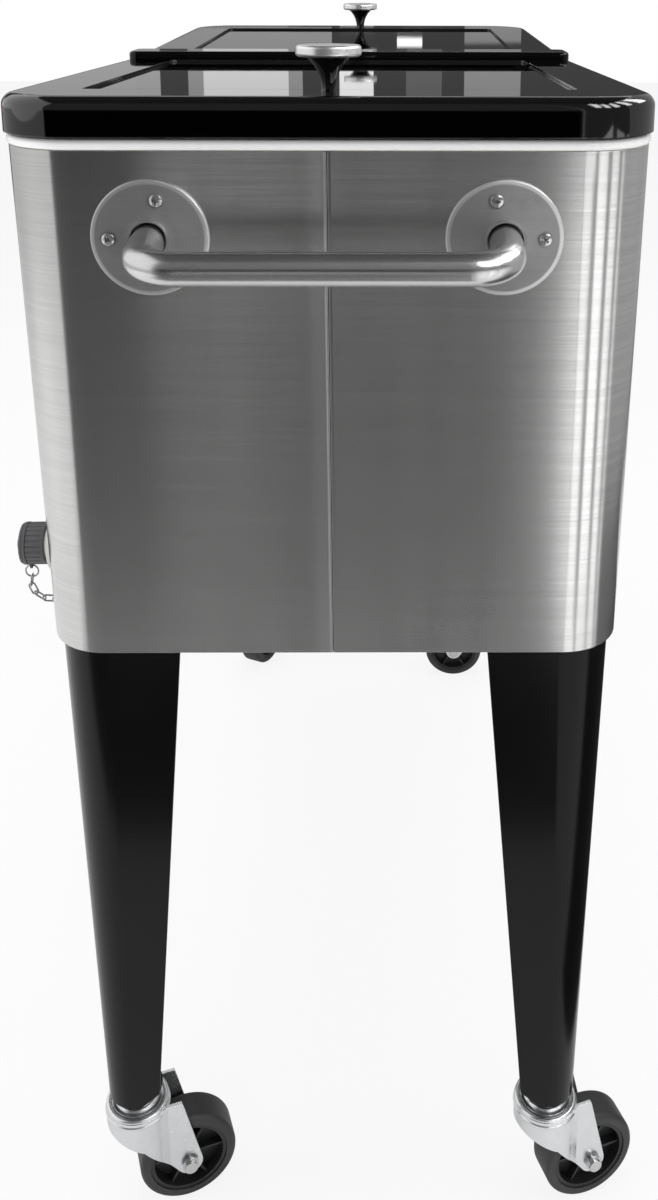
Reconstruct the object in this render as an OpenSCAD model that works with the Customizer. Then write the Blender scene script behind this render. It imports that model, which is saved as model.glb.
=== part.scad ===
// Rolling drinks cooler: an insulated steel-wrapped tub on four caster legs, with two lids
// hinged at a centre bar, a tube handle at each end, a drain and a bottle opener.
// X runs along the cooler, +Y is the drain side, Z is up, and the origin is on the floor.

/* [Tub] */
// Length of the steel wrap at its top edge
body_l = 832; // [760:1:900]
// Width of the steel wrap at its top edge
body_w = 396; // [370:1:440]
// Height of the steel wrap
body_h = 334; // [300:1:380]
// How far each wall leans in between its top and bottom edges
body_taper = 6; // [2:0.5:10]
// Radius of the upright corners at the top edge
body_r = 46; // [42:1:54]
// Thickness of the wrap's sheet steel
sheet_t = 0.8; // [0.6:0.1:1.2]
// Width of the open seam between the two halves of the wrap
seam_gap = 0.6; // [0.3:0.1:1]
// Thickness of the foam in the walls
foam_t = 20; // [16:1:24]
// Thickness of the foam under the tub
floor_foam_t = 30; // [26:1:36]
// Width of the drain channel round the floor of the tub
gutter_w = 14; // [13:0.5:20]
// Depth of the drain channel
gutter_d = 1.5; // [1:0.5:2.5]
// Radius of the raised floor's corners
gutter_r = 12; // [8:1:20]
// Wall of the plastic tub
liner_t = 2.5; // [2:0.1:3]
// Thickness of the bottom pan
pan_t = 1.2; // [0.8:0.1:2]
// Radius of the rolled bead on the rim
rim_bead_r = 3.25; // [2.8:0.05:4]
// How far the rim reaches in over the tub's flange
rim_reach = 14; // [12:1:18]

/* [Lids] */
// Reach of the lids past the ends of the wrap
lid_over_end = 4; // [2:0.5:6]
// Reach of the lids past the sides of the wrap
lid_over_side = 2; // [1.5:0.5:4]
// Height of the lid skirts at the outer ends
skirt_h = 24; // [22:1:30]
// How much lower the lids are at the hinge than at their outer ends
lid_drop = 8.5; // [4:0.5:9]
// Radius of the lids' upright corners
lid_r = 48; // [42:1:56]
// Radius of the rounded edge between the top and the skirt
lid_edge_r = 8; // [6:0.5:10]
// Sheet thickness of the skirts
lid_t = 1.2; // [1:0.1:1.6]
// Thickness of the lid's raised border
border_t = 3; // [2.6:0.1:4]
// Depth of the recessed panel
recess_depth = 2; // [1:0.1:2]
// Width of the border beside the long sides of the panel
border_side = 45; // [38:1:60]
// Width of the border at the lid's outer end
border_end = 58; // [56:1:75]
// Width of the border beside the hinge
border_hinge = 10; // [8:1:30]
// Corner radius of the recessed panel
recess_r = 5; // [3:0.5:8]
// Depth of the insulated lining under each lid at the hinge
lining_t = 9; // [6:0.5:9.5]
// Distance of the lining from the outside of the skirts
lining_gap = 7; // [6:0.5:8]
// Width of the lid gasket
gasket_w = 7; // [5:0.5:7]

/* [Hinge] */
// Width of the centre bar
bar_w = 40; // [34:1:48]
// How far the bar stands above the lids beside it
bar_rise = 6.5; // [4:0.5:8]
// Distance of the centre bar's ends from the sides of the wrap
bar_short = 1; // [0.5:0.5:2]
// Sheet thickness of the centre bar
bar_t = 1.5; // [1.2:0.1:2]
// Radius of the bar's upright corners
bar_r = 8; // [6:1:12]
// Outer radius of the hinge knuckles
knuckle_r = 3; // [2.8:0.1:3.6]
// Radius of the hinge pins
hinge_pin_r = 1.5; // [1.2:0.1:1.6]
// Length of each hinge
hinge_len = 340; // [300:1:350]
// Axial gap between neighbouring knuckles
knuckle_gap = 0.6; // [0.4:0.1:1]

/* [Knobs] */
// Radius of the knob's disc cap
knob_r = 20; // [16:0.5:24]
// Height of the knob above the lid
knob_h = 28; // [24:1:32]
// Thickness of the disc cap
knob_cap_t = 7; // [6:0.5:9]
// Distance of the knob from the lid's outer end
knob_inset = 41; // [36:1:44]
// Radius of the stem under the cap
knob_neck_r = 14; // [10:0.5:15]
// Radius of the stem at the lid
knob_foot_r = 4.5; // [4:0.5:6]

/* [Handles] */
// Height of the handle flanges' centres above the wrap's bottom edge
handle_up = 282; // [240:1:290]
// Distance between the centres of one handle's flanges
handle_span = 212; // [190:1:226]
// Radius of the handle tube
tube_r = 10; // [8:0.5:11]
// Bend radius of the handle tube at its middle line
tube_bend_r = 24; // [20:1:30]
// Distance of the grip's middle line from the end of the wrap
handle_out = 56; // [50:1:66]
// Angle by which the handle hangs below square
handle_droop = 5; // [0:0.5:6]
// Radius of the handle flanges
flange_r = 35.5; // [33:0.5:40]
// Height of the dished flange at its middle
flange_h = 6; // [5:0.5:8]
// Sheet thickness of the flanges
flange_t = 1.6; // [1.2:0.1:2]
// Radius of the circle on which the flange screws lie
flange_screw_pcr = 24; // [22:0.5:26]
// Angle between the outer flange screw and each of the others
flange_screw_step = 103; // [90:1:120]

/* [Legs] */
// Height of the wrap's bottom edge above the floor
leg_top = 504; // [440:1:560]
// Height of the leg's bottom end above the floor
leg_bottom = 109; // [104:0.5:120]
// Distance of the leg's outer faces from the wrap's bottom edge
leg_inset = 4; // [3:0.5:20]
// How far the outer faces lean in between top and bottom
leg_lean = 10; // [4:0.5:14]
// Width of each face of the leg at the top
leg_w_top = 86; // [70:1:92]
// Width of each face of the leg at the bottom
leg_w_bottom = 42; // [36:0.5:48]
// Radius of the leg's rounded outer corner at the top
leg_r_top = 38; // [34:1:46]
// Radius of the leg's rounded outer corner at the bottom
leg_r_bottom = 20.5; // [18:0.5:24]
// Sheet thickness of the legs
leg_t = 2; // [1.5:0.1:3]
// How far the bottom edge climbs towards the inner edge of each face
leg_nip = 14; // [8:1:20]
// Radius of the socket that takes the caster stem
socket_r = 10; // [8:0.5:12]
// Height of the caster socket
socket_h = 38; // [30:1:50]

/* [Casters] */
// Radius of the tyre
wheel_r = 37.5; // [34:0.5:38]
// Width of the tyre
wheel_w = 26; // [22:0.5:27]
// Thickness of the rubber on the rim
tyre_t = 7.5; // [6:0.5:9]
// Radius of the axle bolt
axle_r = 4; // [3:0.25:4.5]
// Horizontal distance from the swivel axis to the axle
trail = 35; // [33:0.5:37]
// Radius of the fork's head
fork_r = 24; // [23:0.5:26]
// Distance of the fork's cheeks from its middle plane
fork_half_w = 16.8; // [16.5:0.1:18]
// Sheet thickness of the fork
fork_t = 2.2; // [1.8:0.1:2.4]
// Height of the fork's top plate above the floor
fork_top = 97; // [94:0.5:98]
// Radius of the fork's rounded end at the axle
fork_eye_r = 10; // [8.5:0.5:11]
// Radius of the caster stem
stem_r = 5; // [4:0.5:6]
// Resting heading of the caster at the left end, drain side
heading_back_left = 290; // [0:1:360]
// Resting heading of the caster at the left end, front side
heading_front_left = 290; // [0:1:360]
// Resting heading of the caster at the right end, drain side
heading_back_right = 335; // [0:1:360]
// Resting heading of the caster at the right end, front side
heading_front_right = 90; // [0:1:360]

/* [Drain] */
// Distance of the drain from the middle of the cooler
drain_from_middle = 350; // [300:1:352]
// Height of the drain's middle above the floor of the tub
drain_over_floor = 16.3; // [15.5:0.1:20]
// Radius of the spout's bore
drain_bore_r = 8; // [6:0.5:8]
// Radius of the spout
spout_r = 10.5; // [10:0.1:11]
// Radius of the spout's flange
spout_flange_r = 18; // [16:0.5:20]
// Radius of the drain cap
cap_r = 14.6; // [14.4:0.1:15.4]
// Distance of the cap's outer face from the wrap
cap_out = 25; // [24:0.5:28]
// Length of the cap
cap_l = 17; // [16:0.5:17.5]
// Number of grip grooves round the cap
cap_grooves = 24; // [16:1:30]
// Diameter of the chain's wire
chain_wire = 1.3; // [1.1:0.1:1.4]
// Width of a chain link at its wire's middle line
link_w = 4.4; // [4.2:0.1:4.8]

/* [Opener] */
// Distance of the bottle opener from the middle of the cooler
opener_from_middle = 250; // [150:1:300]
// Height of the opener's middle above the wrap's bottom edge
opener_up = 262; // [240:1:280]
// Width of the opener's plate
opener_w = 44; // [40:1:52]
// Height of the opener's plate
opener_h = 62; // [56:1:70]
// Distance between the opener's screws
opener_screw_gap = 24; // [20:1:28]
// Width of the cap catcher
catcher_w = 110; // [90:1:140]
// Height of the cap catcher
catcher_h = 95; // [70:1:110]
// Depth of the cap catcher
catcher_d = 30; // [28:1:36]
// Sheet thickness of the cap catcher
catcher_t = 1; // [0.8:0.1:1.5]
// Height of the catcher's bottom above the wrap's bottom edge
catcher_up = 92; // [80:1:110]

/* [Hidden] */
$fn = 64;

// Clearances: sliding parts, turning pins, and pieces that pass through a hole
run_gap = 0.5;
bond_gap = 0.1;
pin_gap = 0.05;
hole_gap = 0.1;

// Levels and corner centres of the tub
body_top = leg_top + body_h;
body_lx = body_l - 2 * body_r;
body_ly = body_w - 2 * body_r;
wall_angle = atan(body_taper / body_h);
floor_z = leg_top + pan_t + floor_foam_t;
liner_inset = sheet_t + foam_t;
inner_inset = liner_inset + liner_t;
flange_top = body_top + liner_t;
rim_top = body_top + 2 * rim_bead_r;

// Levels of the lids and the hinge
lid_gap = 1.5;
seal_gap = 0.5;
lid_bottom = rim_top + lid_gap;
lid_top = lid_bottom + skirt_h;
lid_l = body_l + 2 * lid_over_end;
lid_w = body_w + 2 * lid_over_side;
bar_l = body_w - 2 * bar_short;
lid_lx = lid_l - 2 * lid_r;
lid_ly = lid_w - 2 * lid_r;
hinge_x = bar_w / 2 + run_gap + knuckle_r;
lid_low = lid_top - lid_drop;
lid_tilt = atan(lid_drop / (lid_l / 2 - hinge_x));
hinge_z = lid_low - knuckle_r;
bar_top = lid_low + bar_rise;
skirt_cut = 2;
lining_bottom = lid_low - border_t - lining_t;
knuckle_count = 5;
knuckle_pitch = hinge_len / knuckle_count;
knuckle_web = 3;
bar_screw_x = bar_w / 4;
bar_screw_y = body_w / 2 - rim_reach / 2 - 1;
bar_foot_t = 2;
knob_x = lid_l / 2 - knob_inset;
knob_foot_h = 2;
stud_r = 3;
lining_x = hinge_x + knuckle_r + 2 * run_gap + lid_t + 4;

// Handle and small screws
handle_z = leg_top + handle_up;
end_x = body_l / 2 - (body_top - handle_z) * tan(wall_angle);
screw_r = 2;
screw_head_r = 4;
screw_head_h = 2.6;
screw_l = 12;
flange_rim_r = 1.2;
flange_eye_r = 15;
flange_collar_h = 2;
flange_seat_r = 5;
flange_seat_z = 2 * flange_rim_r + flange_t + 0.4;

// Legs and casters
leg_x = body_l / 2 - body_taper - leg_inset;
leg_y = body_w / 2 - body_taper - leg_inset;
leg_h = leg_top - leg_bottom;
leg_spread = leg_r_top - leg_r_bottom - leg_lean;
leg_tilt = atan(leg_spread * sqrt(2) / leg_h);
leg_over = 12;
leg_plate_t = 3;
caster_x = leg_x - leg_lean - leg_r_bottom;
caster_y = leg_y - leg_lean - leg_r_bottom;
bolt_r = 3;
bolt_head_r = 5.5;
bolt_head_h = 4;
bolt_l = 16;
bolt_in = leg_r_top + 8;
bolt_step = 22;
collar_h = 5;
race_r = fork_r - 4.5;
race_gap = 0.6;
kingpin_r = 4;
rivet_r = 7;
cheek_start = 6;
cheek_end = 20;
fork_eye_z = wheel_r;
tyre_r_in = wheel_r - tyre_t;
hub_rim_t = 3;
hub_r = 9;
hub_web_t = 4;
rib_count = 6;
rib_t = 2;
corners = [[-1, 1], [-1, -1], [1, 1], [1, -1]];
headings = [heading_back_left, heading_front_left, heading_back_right, heading_front_right];

// Drain, its cap and the chain, measured from the wrap's outer face
drain_z = floor_z + liner_t + drain_over_floor;
drain_x = -drain_from_middle;
side_y_at_drain = body_w / 2 - (body_top - drain_z) * tan(wall_angle);
seal_t = 2;
spout_flange_t = 3;
spout_end = cap_out - 4.5;
spout_in = inner_inset + 12;
nut_t = 7;
nut_r = 17;
cap_top_t = 4;
cap_bump_r = 5;
cap_bump_h = 3;
cap_chamfer = 1.5;
groove_r = 0.7;
ring_at = cap_out - 4.4;
ring_w = 2.4;
ring_t = 1.2;
ring_groove = 1.3;
ring_eye_r = 1.4;
ring_eye_y = cap_r + 2.2;
link_gap = 0.7;
loop_r = 4.4;
loop_wire = 1.2;
eyelet_y = 43;
eyelet_r = 2.8;
eyelet_wire = 1.6;
eyelet_out = 5.6;
// Joints of the chain, as distances down from the drain's axis and out from the wrap
loop_at = [ring_eye_y + loop_r, ring_at + ring_t / 2];
chain_start = loop_at + [loop_r - 0.8, 0];
chain_end = [eyelet_y, eyelet_out + eyelet_r - 0.9];
chain_middle = (chain_start + chain_end) / 2 + [4.3, 5.7];
chain_route = [
    chain_start, chain_start + [6.9, 1.4], chain_middle, chain_end + [-0.6, 7], chain_end
];
link_twist = [0, 90, 0, 90];
eyelet_base_r = 4;
eyelet_base_t = 1.4;

// Bottle opener and cap catcher on the front, measured from the wrap's outer face
opener_z = leg_top + opener_up;
front_y_at_opener = body_w / 2 - (body_top - opener_z) * tan(wall_angle);
opener_t = 5;
opener_lip = 15;
opener_mouth_r = 13;
hook_up = 10;
hook_step = catcher_w / 2;

// Distance of the wrap's outer face from a corner centre at height z, less an inset
function wall_r(z, inset) = body_r - (body_top - z) * tan(wall_angle) - inset;

// One quarter turn of a profile at corner sx, sy of a rectangle of corner centres
module corner_turn(lx, ly, sx, sy) {
    start = sx > 0 ? (sy > 0 ? 0 : 270) : (sy > 0 ? 90 : 180);
    translate([sx * lx / 2, sy * ly / 2, 0])
        rotate([0, 0, start])
            rotate_extrude(angle = 90)
                children();
}

// A straight stretch of a profile that faces heading a, out from the origin
module straight_run(out, len, a) {
    rotate([0, 0, a])
        translate([out, len / 2, 0])
            rotate([90, 0, 0])
                linear_extrude(len)
                    children();
}

// A profile taken all the way round a rounded rectangle
module swept_ring(lx, ly) {
    for (c = corners)
        corner_turn(lx, ly, c[0], c[1]) children();
    for (a = [0, 180])
        straight_run(lx / 2, ly, a) children();
    for (a = [90, 270])
        straight_run(ly / 2, lx, a) children();
}

// Profile of a layer of the tub's wall between two insets
module wall_profile(z0, z1, outer, inner) {
    polygon([
        [wall_r(z0, outer), z0],
        [wall_r(z1, outer), z1],
        [wall_r(z1, inner), z1],
        [wall_r(z0, inner), z0]
    ]);
}

// Profile of a layer of the tub's wall that also has a floor
module basin_profile(z0, floor_top, z1, outer, inner) {
    polygon([
        [0, z0],
        [wall_r(z0, outer), z0],
        [wall_r(z1, outer), z1],
        [wall_r(z1, inner), z1],
        [wall_r(floor_top, inner), floor_top],
        [0, floor_top]
    ]);
}

// A slab over the rectangle of the tub's corner centres
module tub_slab(z0, z1) {
    translate([-body_lx / 2, -body_ly / 2, z0])
        cube([body_lx, body_ly, z1 - z0]);
}

// Local frame on an end of the wrap: +Z points out of the wall and +X down it
module at_end(side) {
    mirror([side < 0 ? 1 : 0, 0, 0])
        translate([end_x, 0, handle_z])
            rotate([0, 90 + wall_angle, 0])
                children();
}

// Local frame on the drain side: +Z points out of the wall and +Y down it
module at_drain() {
    translate([drain_x, side_y_at_drain, drain_z])
        rotate([-90 - wall_angle, 0, 0])
            children();
}

// Local frame on the front: +Z points out of the wall and +Y up it
module at_opener() {
    translate([opener_from_middle, -front_y_at_opener, opener_z])
        rotate([90 + wall_angle, 0, 0])
            children();
}

// Places of the screws in one flange whose outer side faces +Y
module flange_screw_places() {
    for (a = [90 - flange_screw_step, 90, 90 + flange_screw_step])
        translate([flange_screw_pcr * cos(a), flange_screw_pcr * sin(a), 0])
            children();
}

// Both flanges of one handle
module flange_places(side) {
    at_end(side)
        for (s = [0, 1])
            mirror([0, s, 0])
                translate([0, handle_span / 2, 0])
                    children();
}

// Places of the two opener screws
module opener_screw_places() {
    for (s = [-1, 1])
        translate([s * opener_screw_gap / 2, opener_h / 2 - 10, 0])
            children();
}

// Places of the two hook screws of the cap catcher
module hook_places() {
    catcher_top = catcher_up + catcher_h - opener_up;
    for (s = [-1, 1])
        translate([s * hook_step / 2, catcher_top - hook_up, 0])
            children();
}

// Holes that the handle, opener and hook screws need in the wall
module wall_screw_holes(r, depth) {
    for (side = [-1, 1])
        flange_places(side)
            flange_screw_places()
                translate([0, 0, -depth]) cylinder(r = r, h = depth + 1);
    at_opener() {
        opener_screw_places()
            translate([0, 0, -depth]) cylinder(r = r, h = depth + 1);
        hook_places()
            translate([0, 0, -depth]) cylinder(r = r, h = depth + 1);
    }
}

// Places of the screws of the centre bar
module bar_screw_places() {
    for (sx = [-1, 1], sy = [-1, 1])
        translate([sx * bar_screw_x, sy * bar_screw_y, 0])
            children();
}

// Places of the two bolts of the leg in corner c
module leg_bolt_places(c) {
    for (i = [0, 1])
        translate([
            c[0] * (leg_x - bolt_in + i * bolt_step),
            c[1] * (leg_y - bolt_in + (1 - i) * bolt_step),
            0
        ])
            children();
}

// A pan-head screw that points down from its seat at z = 0
module pan_screw(r, head_r, head_h, len) {
    rotate_extrude()
        difference() {
            union() {
                translate([0, -len]) square([r, len]);
                square([head_r, head_h / 2]);
                intersection() {
                    translate([0, head_h - head_r * 2]) circle(head_r * 2);
                    square([head_r, head_h]);
                }
            }
            translate([-head_r * 3, -len - head_r * 3]) square([head_r * 3, len + head_r * 6]);
        }
}

// Floor of the tub inside its drain channel
module raised_floor() {
    l = body_l - 2 * (body_taper + inner_inset + gutter_w);
    w = body_w - 2 * (body_taper + inner_inset + gutter_w);
    translate([0, 0, floor_z + liner_t / 2])
        linear_extrude(liner_t / 2 + gutter_d)
            union() {
                square([l - 2 * gutter_r, w], center = true);
                square([l, w - 2 * gutter_r], center = true);
                for (sx = [-1, 1], sy = [-1, 1])
                    translate([sx * (l / 2 - gutter_r), sy * (w / 2 - gutter_r)]) circle(gutter_r);
            }
}

module tub_liner() {
    color("whitesmoke")
        difference() {
            union() {
                swept_ring(body_lx, body_ly) {
                    union() {
                        basin_profile(floor_z, floor_z + liner_t, body_top, liner_inset, inner_inset);
                        translate([wall_r(body_top, inner_inset), body_top])
                            square([inner_inset - 2 * rim_bead_r, liner_t]);
                    }
                }
                tub_slab(floor_z, floor_z + liner_t);
                raised_floor();
            }
            at_drain()
                translate([0, 0, -spout_in]) cylinder(r = spout_r + hole_gap, h = spout_in);
            bar_screw_places()
                translate([0, 0, body_top - 1]) cylinder(r = screw_r + hole_gap, h = liner_t + 2);
        }
}

module foam_jacket() {
    color("khaki")
        difference() {
            union() {
                swept_ring(body_lx, body_ly)
                    basin_profile(leg_top + pan_t, floor_z, body_top, sheet_t, liner_inset);
                tub_slab(leg_top + pan_t, floor_z);
            }
            at_drain()
                translate([0, 0, -spout_in]) cylinder(r = spout_r + hole_gap, h = spout_in);
            wall_screw_holes(screw_r + hole_gap, screw_l);
            bar_screw_places()
                translate([0, 0, body_top - screw_l]) cylinder(r = screw_r + hole_gap, h = screw_l + 1);
            for (c = corners)
                leg_bolt_places(c)
                    translate([0, 0, leg_top]) cylinder(r = bolt_r + hole_gap, h = bolt_l);
        }
}

// Half of the steel wrap, on the side that s names
module wrap_half(s) {
    difference() {
        union() {
            for (sx = [-1, 1])
                corner_turn(body_lx, body_ly, sx, s)
                    wall_profile(leg_top, body_top, 0, sheet_t);
            straight_run(body_ly / 2, body_lx, s * 90)
                wall_profile(leg_top, body_top, 0, sheet_t);
            for (a = [0, 180])
                translate([0, s * (body_ly + seam_gap) / 4, 0])
                    straight_run(body_lx / 2, (body_ly - seam_gap) / 2, a)
                        wall_profile(leg_top, body_top, 0, sheet_t);
        }
        wall_screw_holes(screw_r + hole_gap, screw_l);
        at_drain()
            translate([0, 0, -spout_in]) cylinder(r = spout_r + hole_gap, h = spout_in + 1);
    }
}

module wrap_front() {
    color("silver") wrap_half(-1);
}

module wrap_back() {
    color("silver") wrap_half(1);
}

module bottom_pan() {
    color("dimgray")
        difference() {
            union() {
                swept_ring(body_lx, body_ly)
                    basin_profile(leg_top, leg_top + pan_t, leg_top + pan_t, sheet_t, sheet_t);
                tub_slab(leg_top, leg_top + pan_t);
            }
            for (c = corners)
                leg_bolt_places(c)
                    translate([0, 0, leg_top - 1]) cylinder(r = bolt_r + hole_gap, h = pan_t + 2);
        }
}

module rim_trim() {
    color("gainsboro")
        difference() {
            swept_ring(body_lx, body_ly)
                union() {
                    translate([body_r - 2, body_top + rim_bead_r]) circle(rim_bead_r);
                    translate([body_r - rim_reach, flange_top])
                        square([rim_reach - 2, rim_top - flange_top]);
                }
            bar_screw_places()
                translate([0, 0, body_top]) cylinder(r = screw_r + hole_gap, h = rim_top);
        }
}

// Solid edge profile of a lid, rounded at its top outer edge
module rounded_edge(r, h, edge) {
    square([r, h - edge]);
    square([r - edge, h]);
    translate([r - edge, h - edge]) circle(edge);
}

// Sheet profile of the lid's skirt and border
module lid_profile() {
    h = skirt_h + skirt_cut;
    translate([0, lid_low - h])
        difference() {
            intersection() {
                rounded_edge(lid_r, h, lid_edge_r);
                square([lid_r, h]);
            }
            translate([-1, -1])
                rounded_edge(lid_r - lid_t + 1, h - border_t + 1, lid_edge_r - lid_t);
        }
}

// Slope of the right lid, raised from level about its hinge
module lid_slope() {
    translate([hinge_x, 0, hinge_z])
        rotate([0, -lid_tilt, 0])
            translate([-hinge_x, 0, -hinge_z])
                children();
}

// Everything above a level plane, over the right lid
module above(z) {
    translate([0, -lid_w, z]) cube([lid_l, 2 * lid_w, 4 * skirt_h]);
}

// A profile taken round the outer end and both sides of the right lid, from x0 outwards
module lid_sweep(x0) {
    run = lid_lx / 2 - x0;
    for (s = [-1, 1]) {
        corner_turn(lid_lx, lid_ly, 1, s) children();
        translate([x0 + run / 2, 0, 0])
            straight_run(lid_ly / 2, run, s * 90) children();
    }
    straight_run(lid_lx / 2, lid_ly, 0) children();
}

// Knuckles number first, first + 2 and so on of one hinge
module knuckles(first, r) {
    for (i = [first : 2 : knuckle_count - 1])
        translate([hinge_x, -hinge_len / 2 + i * knuckle_pitch + knuckle_gap / 2, hinge_z])
            rotate([-90, 0, 0])
                cylinder(r = r, h = knuckle_pitch - knuckle_gap);
}

// Room for the bar's knuckles in the lid's inner edge
module knuckle_room() {
    for (i = [0 : 2 : knuckle_count - 1])
        translate([
            hinge_x - knuckle_r,
            -hinge_len / 2 + i * knuckle_pitch - knuckle_gap,
            hinge_z - knuckle_r
        ])
            cube([2 * knuckle_r + run_gap, knuckle_pitch + 2 * knuckle_gap, 2 * knuckle_r + 1]);
}

// The right lid; the left one is its mirror image
module lid_shell() {
    lip_x = hinge_x + knuckle_r + run_gap;
    h = skirt_h + skirt_cut;
    intersection() {
        lid_slope()
            difference() {
                union() {
                    lid_sweep(hinge_x) lid_profile();
                    translate([hinge_x, -lid_ly / 2, lid_low - border_t])
                        cube([lid_lx / 2 - hinge_x, lid_ly, border_t]);
                    translate([lip_x, -lid_w / 2 + lid_t / 2, lid_low - h])
                        cube([lid_t, lid_w - lid_t, h - lid_edge_r]);
                    translate([lip_x, -lid_ly / 2, lid_low - h])
                        cube([lid_t, lid_ly, h - border_t / 2]);
                    knuckles(1, knuckle_r);
                }
                knuckle_room();
                translate([hinge_x, -hinge_len / 2, hinge_z])
                    rotate([-90, 0, 0])
                        cylinder(r = hinge_pin_r + pin_gap, h = hinge_len);
                recess_pocket();
                translate([knob_x, 0, lid_low - border_t - 1])
                    cylinder(r = stud_r + hole_gap, h = border_t + 2);
            }
        above(lid_bottom);
    }
}

// Pocket of the recessed panel, with rounded corners
module recess_pocket() {
    x0 = hinge_x + border_hinge;
    x1 = lid_l / 2 - border_end;
    y1 = lid_w / 2 - border_side;
    translate([0, 0, lid_low - recess_depth])
        linear_extrude(recess_depth + 1)
            union() {
                translate([x0 + recess_r, -y1]) square([x1 - x0 - 2 * recess_r, 2 * y1]);
                translate([x0, -y1 + recess_r]) square([x1 - x0, 2 * (y1 - recess_r)]);
                for (x = [x0 + recess_r, x1 - recess_r], y = [-y1 + recess_r, y1 - recess_r])
                    translate([x, y]) circle(recess_r);
            }
}

// Block of insulation with a moulded face, level below and sloped above, under the right lid
module lid_lining() {
    depth = lining_t + lid_drop + skirt_cut;
    z0 = lid_low - border_t - depth;
    h = depth - bond_gap;
    r = lid_r - lining_gap;
    intersection() {
        lid_slope()
            difference() {
                union() {
                    lid_sweep(lining_x)
                        translate([0, z0]) square([r, h]);
                    translate([lining_x, -lid_ly / 2, z0])
                        cube([lid_lx / 2 - lining_x, lid_ly, h]);
                }
                translate([knob_x, 0, lid_low - border_t - 10])
                    cylinder(r = 8, h = 11);
            }
        above(lining_bottom);
    }
}

// Soft strip round the lining, which lands on the rim
module lid_seal() {
    r = lid_r - lining_gap - 1;
    land = rim_top + seal_gap;
    bulb = 1.5;
    lid_sweep(lining_x + 1)
        union() {
            translate([r - gasket_w, land + bulb]) square([gasket_w, lining_bottom - land - bulb]);
            translate([r - gasket_w / 2, land + bulb]) circle(bulb);
        }
}

module lid_left() {
    color("black") mirror([1, 0, 0]) lid_shell();
}

module lid_right() {
    color("black") lid_shell();
}

module lid_liner_left() {
    color("whitesmoke") mirror([1, 0, 0]) lid_lining();
}

module lid_liner_right() {
    color("whitesmoke") lid_lining();
}

module lid_gasket_left() {
    color("dimgray") mirror([1, 0, 0]) lid_seal();
}

module lid_gasket_right() {
    color("dimgray") lid_seal();
}

// Flared stem of the right knob, with a stud and nut through the lid
module knob_stem() {
    body = knob_h - knob_cap_t;
    flare = knob_neck_r - knob_foot_r;
    rise = body - knob_foot_h;
    curve = (flare * flare + rise * rise) / (2 * flare);
    lid_slope()
        translate([knob_x, 0, lid_low])
            union() {
                rotate_extrude()
                    difference() {
                        square([knob_neck_r, body]);
                        translate([knob_foot_r + curve, knob_foot_h]) circle(curve);
                    }
                translate([0, 0, -border_t - 5]) cylinder(r = stud_r, h = border_t + 6);
                translate([0, 0, -border_t - 4]) cylinder(r = 5.5, h = 4, $fn = 6);
            }
}

// Disc cap of the right knob, with rounded edges
module knob_cap() {
    edge = 2;
    lid_slope()
        translate([knob_x, 0, lid_low + knob_h - knob_cap_t])
            rotate_extrude()
                union() {
                    square([knob_r - edge, knob_cap_t]);
                    translate([0, edge]) square([knob_r, knob_cap_t - 2 * edge]);
                    translate([knob_r - edge, edge]) circle(edge);
                    translate([knob_r - edge, knob_cap_t - edge]) circle(edge);
                }
}

module knob_stem_left() {
    color("black") mirror([1, 0, 0]) knob_stem();
}

module knob_stem_right() {
    color("black") knob_stem();
}

module knob_cap_left() {
    color("silver") mirror([1, 0, 0]) knob_cap();
}

module knob_cap_right() {
    color("silver") knob_cap();
}

module hinge_bar() {
    edge = 3;
    bar_h = bar_top - rim_top;
    lx = bar_w - 2 * bar_r;
    ly = bar_l - 2 * bar_r;
    color("black")
        difference() {
            union() {
                swept_ring(lx, ly)
                    translate([0, rim_top])
                        difference() {
                            intersection() {
                                rounded_edge(bar_r, bar_h, edge);
                                square([bar_r, bar_h]);
                            }
                            translate([-1, -1])
                                rounded_edge(bar_r - bar_t + 1, bar_h - bar_t + 1, edge - bar_t);
                        }
                translate([-lx / 2, -ly / 2, bar_top - bar_t]) cube([lx, ly, bar_t]);
                for (s = [-1, 1])
                    translate([-bar_w / 2 + bar_t, s > 0 ? bar_screw_y - 6 : -bar_screw_y - 6, rim_top])
                        cube([bar_w - 2 * bar_t, 12, bar_foot_t]);
                for (m = [0, 1])
                    mirror([m, 0, 0]) {
                        knuckles(0, knuckle_r);
                        for (i = [0 : 2 : knuckle_count - 1])
                            translate([
                                bar_w / 2 - bar_t / 2,
                                -hinge_len / 2 + i * knuckle_pitch + knuckle_gap / 2,
                                hinge_z - knuckle_web / 2
                            ])
                                cube([
                                    knuckle_r + run_gap + bar_t / 2 - hinge_pin_r,
                                    knuckle_pitch - knuckle_gap,
                                    knuckle_web
                                ]);
                    }
            }
            for (s = [-1, 1])
                translate([s * hinge_x, -hinge_len / 2, hinge_z])
                    rotate([-90, 0, 0])
                        cylinder(r = hinge_pin_r + pin_gap / 2, h = hinge_len);
            bar_screw_places()
                translate([0, 0, rim_top - 1]) cylinder(r = screw_r + hole_gap, h = bar_foot_t + 2);
        }
}

module hinge_pins() {
    color("silver")
        for (s = [-1, 1])
            translate([s * hinge_x, -hinge_len / 2 + knuckle_gap, hinge_z])
                rotate([-90, 0, 0])
                    cylinder(r = hinge_pin_r, h = hinge_len - 2 * knuckle_gap);
}

module bar_screws() {
    color("silver")
        bar_screw_places()
            translate([0, 0, rim_top + bar_foot_t])
                pan_screw(screw_r, screw_head_r, screw_head_h, screw_l);
}

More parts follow.
